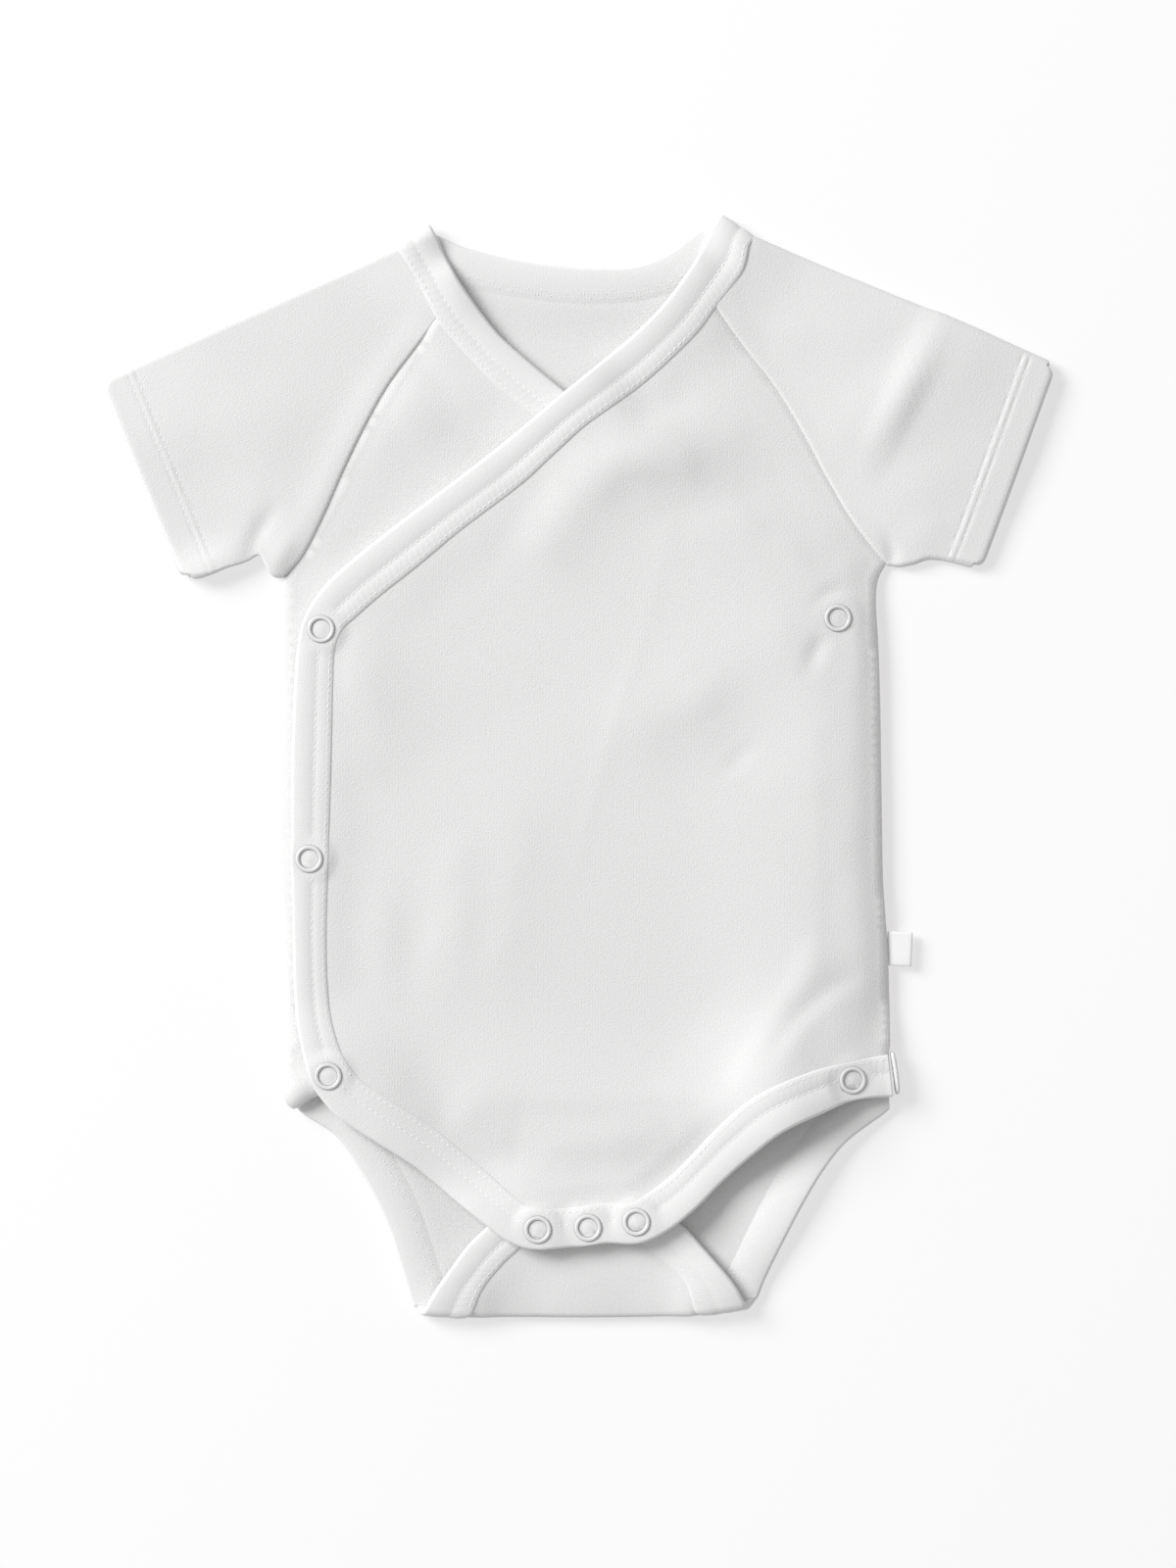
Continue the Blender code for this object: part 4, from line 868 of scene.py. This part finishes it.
def capsules(name, places, slot):
    """Short lengths of thread. Each place is its middle, its length and direction, and the way up."""
    rings = ((-1.0, 0.25), (-0.8, 0.8), (-0.3, 1.0), (0.3, 1.0), (0.8, 0.8), (1.0, 0.25))
    circle = [(cos(pi * k / 3), sin(pi * k / 3)) for k in range(6)]
    around, last = len(circle), (len(rings) - 1) * len(circle)
    capsule = quads(len(rings), around)
    capsule += [list(reversed(range(around))), list(range(last, last + around))]
    points, faces = [], []
    for middle, way, up in places:
        half, way = np.linalg.norm(way) / 2, unit(way)
        side = unit(np.cross(way, up))
        rise = np.cross(side, way)
        faces += [[len(points) + k for k in face] for face in capsule]
        for t, radius in rings:
            centre = middle + way * t * half - rise * (0.2 * abs(t) ** 3)
            points += [centre + (side * x + rise * y) * THREAD * radius for x, y in circle]
    return add(name, points, faces, None, thread, slot)


def clear_of_snaps(places):
    return [place for place in places
            if all(hypot(place[0][0] - seat.x, place[0][1] - seat.y) > SNAP_RADIUS + 0.9 for seat in seats)]


def stitches_along(line, ups, length=STITCH_LENGTH, pitch=STITCH_PITCH):
    """Places for stitches along a line in space."""
    walk = walked(line)
    marks = np.arange(pitch / 2, walk[-1] - pitch / 2, pitch)
    ways = unit(read(marks + 0.6, walk, line) - read(marks - 0.6, walk, line)) * length
    return clear_of_snaps(zip(read(marks, walk, line), ways, read(marks, walk, ups)))


def tape_stitches(sections, depth):
    """Places for stitches along a tape's outer face."""
    line, ups = zip(*[on_tape(section, depth, 1) for section in sections])
    return stitches_along(pressed(np.array(line), 0.0), ups)


def zigzag(sections, first, last, side):
    """Three-step zigzag stitches between two depths of a tape's face."""
    rails = [np.array([on_tape(section, depth, side) for section in sections]).reshape(-1, 6)
             for depth in (first, last)]
    walk = walked(rails[0][:, :3])
    places, before = [], None
    for k, mark in enumerate(np.arange(0.8, walk[-1] - 0.8, ZIGZAG_PITCH)):
        near, far = (read(mark, walk, rail) for rail in rails)
        mixed = near + (far - near) * (0.0, 0.5, 1.0, 0.5)[k % 4]
        point, up = mixed[:3], mixed[3:]
        if before is not None:
            places.append(((before + point) / 2 + up * 0.02, (point - before) * 0.55, up))
        before = point
    return clear_of_snaps(places)


# ---- where each layer lies ----

# The lowest layer, on the floor.
low = joined(*(height_map(node, -1) for node in ("back_panel", "right_sleeve", "left_sleeve")))
low = np.maximum(softened(low + WALL / 2, 2.0), WALL / 2)
floor_tapes = [inside(strip(on_floor(rows))) for rows in (NECK_TAPE, LEG_TAPE_RIGHT, LEG_TAPE_LEFT)]
raised = smooth(blurred(np.any(floor_tapes, axis=0).astype(float), 2.0) * 2.2)
low = low + (np.maximum(low, TAPE_FACE) - low) * raised

# The flap, turned up from the back.
back_top = height_map("back_panel", 1) - WALL / 2
on_flap = (GRID_Y < -156) & (np.abs(GRID_X - 2) < 60) & (back_top > 3.0)
flap = softened(np.where(on_flap, back_top, np.nan), 3.0) + creases(FLAP_CREASES)


def top_of(spread, *nodes):
    """The middle of the wall of the layer that these solids make."""
    return softened(joined(*(height_map(node, 1) for node in nodes)) - WALL / 2, spread)


def beside_seam(plain, wide, raglan, rows, cuff):
    """Heights on the front's and the sleeve's side of a raglan seam, whose sleeve lies on the front."""
    away = distance(raglan)
    ease = SEAM_EASE * smooth((distance(stitches(rows)) - 1.5) / 9)
    share = smooth(away / 16)
    arm = plain * (1 - share) + wide * share + ease * np.exp(-(away / 7) ** 2)
    arm = arm - 1.1 * (1 - smooth(distance(cuff) / 40)) * smooth(away / 20)
    return plain - ease * np.exp(-(away / 5) ** 2), arm


# The wearer's left leg holds the front up a little, and the back's edge stands up beside it.
leg_arch = dome(64, -119, 23, 24, 4.6)
right_plain = top_of(3.0, "inner_front", "right_sleeve") + creases([RAGLAN_CREASE])
left_plain = top_of(3.0, "outer_front", "left_sleeve") + leg_arch
away, along = line_at([row[:2] for row in on_floor(LEG_TAPE_LEFT)])
low = low + 2.6 * np.exp(-(away / 9) ** 2) * np.sin(pi * np.clip(along * 1.05, 0, 1)) ** 1.2
away, along = line_at(UNDERARM_LIFT)
low = low + 4.4 * np.exp(-(away / 8) ** 2) * np.sin(pi * along)

# The inner front and the right sleeve's upper half.
right_high, right_arm = beside_seam(right_plain, top_of(8.0, "right_sleeve"), RAGLAN_RIGHT, INNER_TAPE,
                                    CUFF_RIGHT)
right_high += creases(INNER_CREASES) * smooth(distance(RAGLAN_RIGHT) / 9)
right_high += dome(-97, -112.5, 6.5, 6, 3.4)
right_arm += creases([row for row in SLEEVE_CREASES if row[2][0] < 0])

# The outer front lies as one soft surface over what it covers.
edge = np.minimum(distance(stitches(WRAP_TAPE)), distance(stitches(FRONT_LEG_TAPE)))
edge = np.minimum(edge, distance(SIDE_LEFT))
share = smooth((edge - 4) / 22)
envelope = top_of(10.0, "outer_front") + leg_arch
envelope = left_plain - 0.3 + 0.25 * np.logaddexp(0, (envelope - left_plain + 0.3) / 0.25)
left_smooth = left_plain * (1 - share) + envelope * share
left_high, left_arm = beside_seam(left_smooth, top_of(8.0, "left_sleeve"), RAGLAN_LEFT, WRAP_TAPE,
                                  CUFF_LEFT)
left_high += creases(FRONT_CREASES) * smooth(np.minimum(edge, distance(RAGLAN_LEFT)) / 8)
left_arm += creases([row for row in SLEEVE_CREASES if row[2][0] > 0])

# ---- panels ----

def cut_to(item, size, rests_on, more=()):
    """Works out a piece's cut size in metres, what it rests on and what goes with it, and keeps none of
    them.
    """
    tuple(float(v) * MM for v in size)
    list(more)
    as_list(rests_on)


def panel(name, outline, step, place, rests_on, lines=()):
    """A panel's shell from its flat outline."""
    flat, faces = cut(outline, lines, step)
    points = np.array([place(x, y, np.zeros(1))[0] for x, y in flat])
    if name == "outer_front":
        points = pressed(points, WALL)
    item = add(name, *shell(points, faces, WALL / 2, WALL / 2, flat), knit, "knit", name)
    cut_to(item, np.ptp(outline, axis=0), rests_on)


corner = SHOULDER_ROWS + 1
leg_right, leg_left = (leg_sections(LEG_TAPE_RIGHT, FLAP_TAPE_RIGHT),
                       leg_sections(LEG_TAPE_LEFT, FLAP_TAPE_LEFT))
raglan_right = edge_line([inner(INNER_TAPE[SHOULDER_ROWS]), *RAGLAN_RIGHT])
raglan_left = edge_line([inner(WRAP_TAPE[SHOULDER_ROWS]), *RAGLAN_LEFT])
back_right, back_left = (
    [inner(row), *bowed(stitch(row), raglan[-1], bow, len(RAGLAN_RIGHT))]
    for row, raglan, bow in ((NECK_TAPE[SHOULDER_ROWS], RAGLAN_RIGHT, -BACK_RAGLAN_BOW),
                             (NECK_TAPE[-corner], RAGLAN_LEFT, BACK_RAGLAN_BOW)))
side_right, side_left = edge_line(SIDE_RIGHT), edge_line(SIDE_LEFT)

outline = edge_line(inners(NECK_TAPE[corner:-corner])) + edge_line(back_left)
outline += [*side_left[1:], stitch(leg_left[0])]
outline += edge_line(inners(leg_left)) + edge_line(inners(reversed(leg_right)))
outline += side_right[:0:-1] + edge_line(back_right)[::-1]
fold_lines = [[(x, fold_line(x) - CROTCH_TURN * k / 8) for x in np.linspace(-34.0, 38.0, 37)]
              for k in range(9)]
panel("back_panel", outline, 2.6, on_back(low, flap), ["floor"], fold_lines)

outline = edge_line(inners(INNER_TAPE[SHOULDER_ROWS:]))[1:] + edge_line(INNER_HEM)
outline += side_right[:0:-1] + raglan_right[::-1]
panel("inner_front", outline, 2.4, over(right_high), ["back_panel"])

outline = edge_line(inners(reversed(WRAP_TAPE[SHOULDER_ROWS:])))[:-1] + raglan_left
outline += [*side_left[1:], stitch(FRONT_LEG_TAPE[-1])] + edge_line(inners(reversed(FRONT_LEG_TAPE)))
panel("outer_front", outline, 1.9, over(left_high), ["inner_front", "back_panel"])

# ---- sleeves ----

def sleeve(name, cuff, front, back, neck_row, high, arch, hem_share):
    """A one-piece sleeve as a flattened tube from its cuff to its raglan seams, with its hem rows."""
    length = apart(*cuff)
    ends = between(*cuff, CUFF_INSET / length), between(*reversed(cuff), CUFF_INSET / length)
    cuff_way, inward = np.subtract(cuff[1], cuff[0]) / length, square_to(*cuff)
    arch_way, top_way = square_to(front[-1], ends[1]), square_to(front[0], ends[0])
    mouth_width = length - 2 * CUFF_INSET
    marks = np.concatenate([CORNER_MARKS, np.linspace(4, mouth_width - 4, 50),
                            mouth_width - CORNER_MARKS[::-1]])

    def half(seam):
        """Lines of points from the cuff to a raglan seam, and how far they stand out of the cloth."""
        seam, bend = spaced(seam, 0.5), np.array(finer(arch, 6)).T
        seam_walk = np.linspace(0, 1, len(seam))
        lines, reliefs = [], []
        for mark in marks:
            share = mark / mouth_width
            mouth, end = np.array(between(*ends, share)), read(share, seam_walk, seam)
            reach = np.linalg.norm(end - mouth)
            steps = np.concatenate([HEM_MARKS, np.linspace(14, reach - 16, 28)[1:],
                                    np.linspace(reach - 16, reach - 3, 13)[1:], reach - SEAM_MARKS])
            bow = np.interp(1 - steps / reach, *bend) * max(0, (share - 0.62) / 0.38) ** 2
            past = max(CUFF_ROUND - min(mark, mouth_width - mark), 0)
            pull = CUFF_ROUND - (CUFF_ROUND ** 2 - past ** 2) ** 0.5
            pull = pull * np.maximum(0, 1 - steps / 7) ** 2
            lines.append(mouth + np.outer(steps / reach, end - mouth) + np.outer(bow, arch_way)
                         + np.outer(pull, inward))
            hem = 0.28 * (1 - smooth((steps - 11.2) / 1.6)) - 0.5 * np.maximum(0, 1 - steps / 1.4) ** 2
            grooves = 0.30 * np.exp(-((steps - 11.6) / 0.55) ** 2)
            grooves += 0.22 * np.exp(-((steps - 9.1) / 0.5) ** 2)
            hem -= (1 + 0.3 * sin(mark * 0.9) + 0.2 * sin(mark * 0.31 + 2)) * grooves
            reliefs.append(hem_share * hem - 0.3 * np.maximum(0, 1 - (reach - steps)) ** 2)
        return np.array(lines), np.array(reliefs)

    (upper, relief), (lower, _) = half(front), half(back)
    arc, count, total = 8, len(upper), upper.shape[1]
    rings, uv = [], []
    for s in range(total):
        blend = float(smooth((s - (total - 12)) / 10))
        arm_way = between(cuff_way, unit(upper[-1, s] - upper[-4, s]), max(blend, 0.3))
        neck_way = between(top_way, square_to(neck_row[:2], neck_row[2:]), blend)

        def fold(edge, way, steps):
            """Cloth on its way round one of the tube's two edges."""
            return [turning(pi * k / arc, low, high, unit(np.array(way)))(
                *between(upper[edge, s], lower[edge, s], k / arc), np.zeros(1))[0] for k in steps]

        ring = np.concatenate([
            over(high)(*upper[:, s].T, relief[:, s]), fold(-1, arm_way, range(1, arc)),
            under(low)(*lower[::-1, s].T, np.zeros(count)), fold(0, neck_way, range(arc - 1, 0, -1))])
        depth = np.zeros(len(ring))
        for first, side in ((count, 1), (2 * count + arc - 1, -1)):
            turn = slice(first, first + arc - 1)
            edges = ring[[first - 1, (first + arc - 1) % len(ring)], 2]
            depth[turn] = side * np.abs(ring[turn, 2, None] - edges).min(axis=1)
        rings.append(ring)
        uv.append(np.stack([ring[:, :2] @ cuff_way + depth, ring[:, :2] @ inward], axis=1))
    faces = quads(total, len(ring))
    if cuff[0][0] > 0:
        faces = [face[::-1] for face in faces]
    hem = np.repeat(WALL * (1 - smooth((np.arange(total) - 13) / 4)), len(ring))
    wall = shell(np.concatenate(rings), faces, WALL / 2, WALL / 2 + hem, np.concatenate(uv))
    item = add(name, *wall, knit, "knit", name)
    places = []
    for s in HEM_ROWS:
        line = rings[s][4:count - 4] + np.array([0, 0, WALL / 2 - 0.02])
        places += stitches_along(line, np.tile([0.0, 0.0, 1.0], (len(line), 1)), 1.5, 2.45)
    rows = capsules(name + "_stitches", places, "knit")
    # Cut size: the tube opened out, with the hem that is turned in.
    area = 2 * mouth_width * HEM_TURNED
    for side in (upper, lower):
        area += abs(np.cross(side[1:, 1:] - side[:-1, :-1], side[1:, :-1] - side[:-1, 1:]).sum()) / 2
    size = 2 * np.ptp(upper @ cuff_way), np.ptp(upper @ inward) + HEM_TURNED
    cut_to(item, size, ["floor"], [rows])


sleeve("right_sleeve", CUFF_RIGHT, inners(INNER_TAPE[:SHOULDER_ROWS]) + raglan_right,
       inners(NECK_TAPE[:SHOULDER_ROWS]) + back_right, NECK_TAPE[0], right_arm, ARCH_RIGHT, 0.55)
sleeve("left_sleeve", CUFF_LEFT, inners(WRAP_TAPE[:SHOULDER_ROWS]) + raglan_left,
       inners(NECK_TAPE[:-corner:-1]) + back_left, NECK_TAPE[-1], left_arm, ARCH_LEFT, 1.0)

# ---- the tapes on their edges ----

# The wrap's tape and the front leg's tape are bound on as one strip round the bottom side snap.
bound = spaced([*WRAP_TAPE, *FRONT_LEG_TAPE[1:]], TAPE_STEP)
meeting = between(WRAP_TAPE[-1], FRONT_LEG_TAPE[0], 0.5)
split = min(range(len(bound)), key=lambda k: apart(bound[k], meeting))
inner_rows = [row for row in spaced(INNER_TAPE[::-1], HIDDEN_STEP) if row[1] < 110]
inner_rows += [row for row in spaced(INNER_TAPE[::-1], TAPE_STEP) if row[1] >= 110]

inner_run = run(inner_rows, over(right_plain), 0.6, 0.0)
neck_run = run(spaced(NECK_TAPE, TAPE_STEP), under(low), 0.7, 1.0)
wrap_run = run(bound[:split + 1], over(left_smooth),
               lambda t: 1 - 0.35 * smooth((t - 0.5) / 0.1) - 0.45 * smooth((t - 0.93) / 0.07), 0.0)
sections = (inner_run + over_shoulder(INNER_TAPE[0], right_plain, 0.6) + neck_run
            + over_shoulder(WRAP_TAPE[0], left_smooth, 0.8)[::-1] + wrap_run)
neck_and_wrap, neck_and_wrap_size = tape("neck_and_wrap_tape", sections)
leg_run = run(bound[split:], over(left_smooth), lambda t: 0.2 + 0.7 * smooth((t - 0.3) / 0.35), 0.0)
front_leg, (front_leg_girth, front_leg_end) = tape("front_leg_tape", leg_run, neck_and_wrap_size[1])

leg_runs, leg_tapes = [], []
for name, rows, share, corner_round in (("right_leg_tape", leg_right, SHARES_RIGHT, SIDE_CORNER),
                                        ("left_leg_tape", leg_left, SHARES_LEFT, TIP)):
    sections = []
    for row in spaced(rows, TAPE_STEP):
        row = rounded(row, apart(row, rows[0]), *corner_round)
        turned = float(smooth((fold_line(row[2]) - row[3]) / CROTCH_TURN))
        sections.append((row, on_back(low, flap), share * turned, 1.0))
    leg_runs.append(sections)
    leg_tapes.append(tape(name, sections))

shown_run = [section for section in inner_run if section[0][1] > 118]
places = [place for sections in (shown_run, wrap_run, leg_run) for depth in NEEDLES
          for place in tape_stitches(sections, depth)]
front_stitches = capsules("front_tape_stitches", places, "tape")
places = zigzag(neck_run[8:-8], 1.8, 5.0, -1)
for sections in leg_runs:
    past = [row[3] - fold_line(row[2]) for row, *_ in sections]
    places += zigzag([section for section, v in zip(sections, past) if v > 1], 2.0, 5.4, -1)
    turned = [section for section, v in zip(sections, past) if v < -CROTCH_TURN - 1]
    if sections is leg_runs[0]:
        places += tape_stitches(turned, NEEDLES[0]) + tape_stitches(turned, NEEDLES[1])
    else:
        places += zigzag(turned, 1.4, 5.2, 1)
inner_stitches = capsules("inner_tape_stitches", places, "tape")

# ---- snaps, label and tab ----

for seat in seats:
    snap_ring(seat)


def laid_at(place, tilt, x, y, z):
    """A point of a small piece that lies at a place, turned in plan."""
    return (place[0] + x * cos(tilt) - y * sin(tilt), place[1] + x * sin(tilt) + y * cos(tilt),
            place[2] + z)


def folded_label():
    """A short length of satin tape, folded at its outer end and sewn into the side seam."""
    long, wide, thick = LABEL_SIZE
    radius, rows = 0.36, 15
    bend, profile = long / 2 - radius - thick / 2, []
    for layer in (1, -1):
        for t in np.linspace(0, 1, 9)[::layer]:
            lift = 0.5 * t * t + (0.12 * sin(pi * t) if layer > 0 else 0.0)
            profile.append((-long / 2 + t * (bend + long / 2), layer * (radius - 0.1 * (1 - t)) + lift))
        if layer > 0:
            angles = [pi / 2 - pi * k / 6 for k in range(1, 6)]
            profile += [(bend + radius * cos(angle), radius * sin(angle) + 0.5) for angle in angles]
    points, uv = [], []
    for v in np.linspace(-wide / 2, wide / 2, rows):
        sag = -0.15 * (2 * v / wide) ** 2
        for k, (x, z) in enumerate(profile):
            points.append(laid_at(LABEL_PLACE, LABEL_TILT, x, v, z + sag * (x / long + 0.5)))
            uv.append((k * 0.9, v))
    faces = quads(rows, len(profile), False)
    return add("side_label", *shell(np.array(points), faces, thick / 2, thick / 2, np.array(uv)), satin,
               "label", "side_label")


def sewn_tab():
    """The doubled end of the leg tape, which stands on its edge at the side seam."""
    thick, long, tall = TAB_SIZE
    rows, around = 25, 24
    points, uv = [], []
    for t in np.linspace(0, 1, rows):
        v = (t - 0.5) * long
        taper = 1 - 0.35 * abs(2 * t - 1) ** 8
        for k in range(around):
            angle = 2 * pi * k / around
            x = thick * taper * np.sign(cos(angle)) * abs(cos(angle)) ** 0.7 + 0.25 * sin(pi * t)
            groove = 0.3 * np.exp(-((x + 0.15) / 0.25) ** 2) * (sin(angle) > 0)
            z = tall * sin(angle) * taper - groove + 0.15 * sin(5 * t)
            points.append(laid_at(TAB_PLACE, TAB_TILT, x, v, z))
            uv.append((v, k * 0.4))
    faces = turned_over(quads(rows, around))
    faces += [list(range(around)), [(rows - 1) * around + k for k in reversed(range(around))]]
    return add("seam_tab", points, faces, uv, ribbed, "tape", "seam_tab")


label, tab = folded_label(), sewn_tab()

# A tape's cut: its girth across the fold, and its length.
front_leg_size = front_leg_girth, front_leg_end - neck_and_wrap_size[1]
for item, size, rests_on, more in (
        (neck_and_wrap, neck_and_wrap_size, ["inner_front", "outer_front", "back_panel"],
         [front_stitches]),
        (front_leg, front_leg_size, ["outer_front", "back_panel"], []),
        (*leg_tapes[0], ["floor", "back_panel"], [inner_stitches]),
        (*leg_tapes[1], ["floor", "back_panel"], [tab]),
        (label, LABEL_CUT, ["outer_front", "back_panel"], [])):
    cut_to(item, size, rests_on, more)

# ---- stage ----

floor = bpy.data.meshes.new("floor")
corners = [(x * FLOOR_HALF, y * FLOOR_HALF, -0.0001) for x, y in ((-1, -1), (1, -1), (1, 1), (-1, 1))]
floor.from_pydata(corners, [], [(0, 1, 2, 3)])
floor.materials.append(Nodes("pale_floor", FLOOR_SHADE, 0.9, {
    "Specular IOR Level": 0.0, "Emission Color": (*FLOOR_GLOW, 1), "Emission Strength": 1.0}).material)
put("floor", floor)

light = bpy.data.lights.new("key", "AREA")
light.shape, light.size, light.energy = "SQUARE", KEY_SIZE, KEY_POWER
lamp = put("key", light)
lamp.location = KEY_PLACE
lamp.rotation_euler = Vector(KEY_PLACE).to_track_quat("Z", "Y").to_euler()

lens = bpy.data.cameras.new("camera")
lens.lens = lens.sensor_width * CAMERA_REACH / CAMERA_VIEW
lens.clip_end = 20
camera = put("camera", lens)
camera.location = CAMERA_PLACE
bpy.context.scene.camera = camera

world = bpy.data.worlds.new("studio")
world.use_nodes = True
background = world.node_tree.nodes["Background"]
background.inputs["Color"].default_value = (1, 1, 1, 1)
background.inputs["Strength"].default_value = WORLD_LIGHT
bpy.context.scene.world = world
bpy.context.scene.view_settings.view_transform = "Standard"
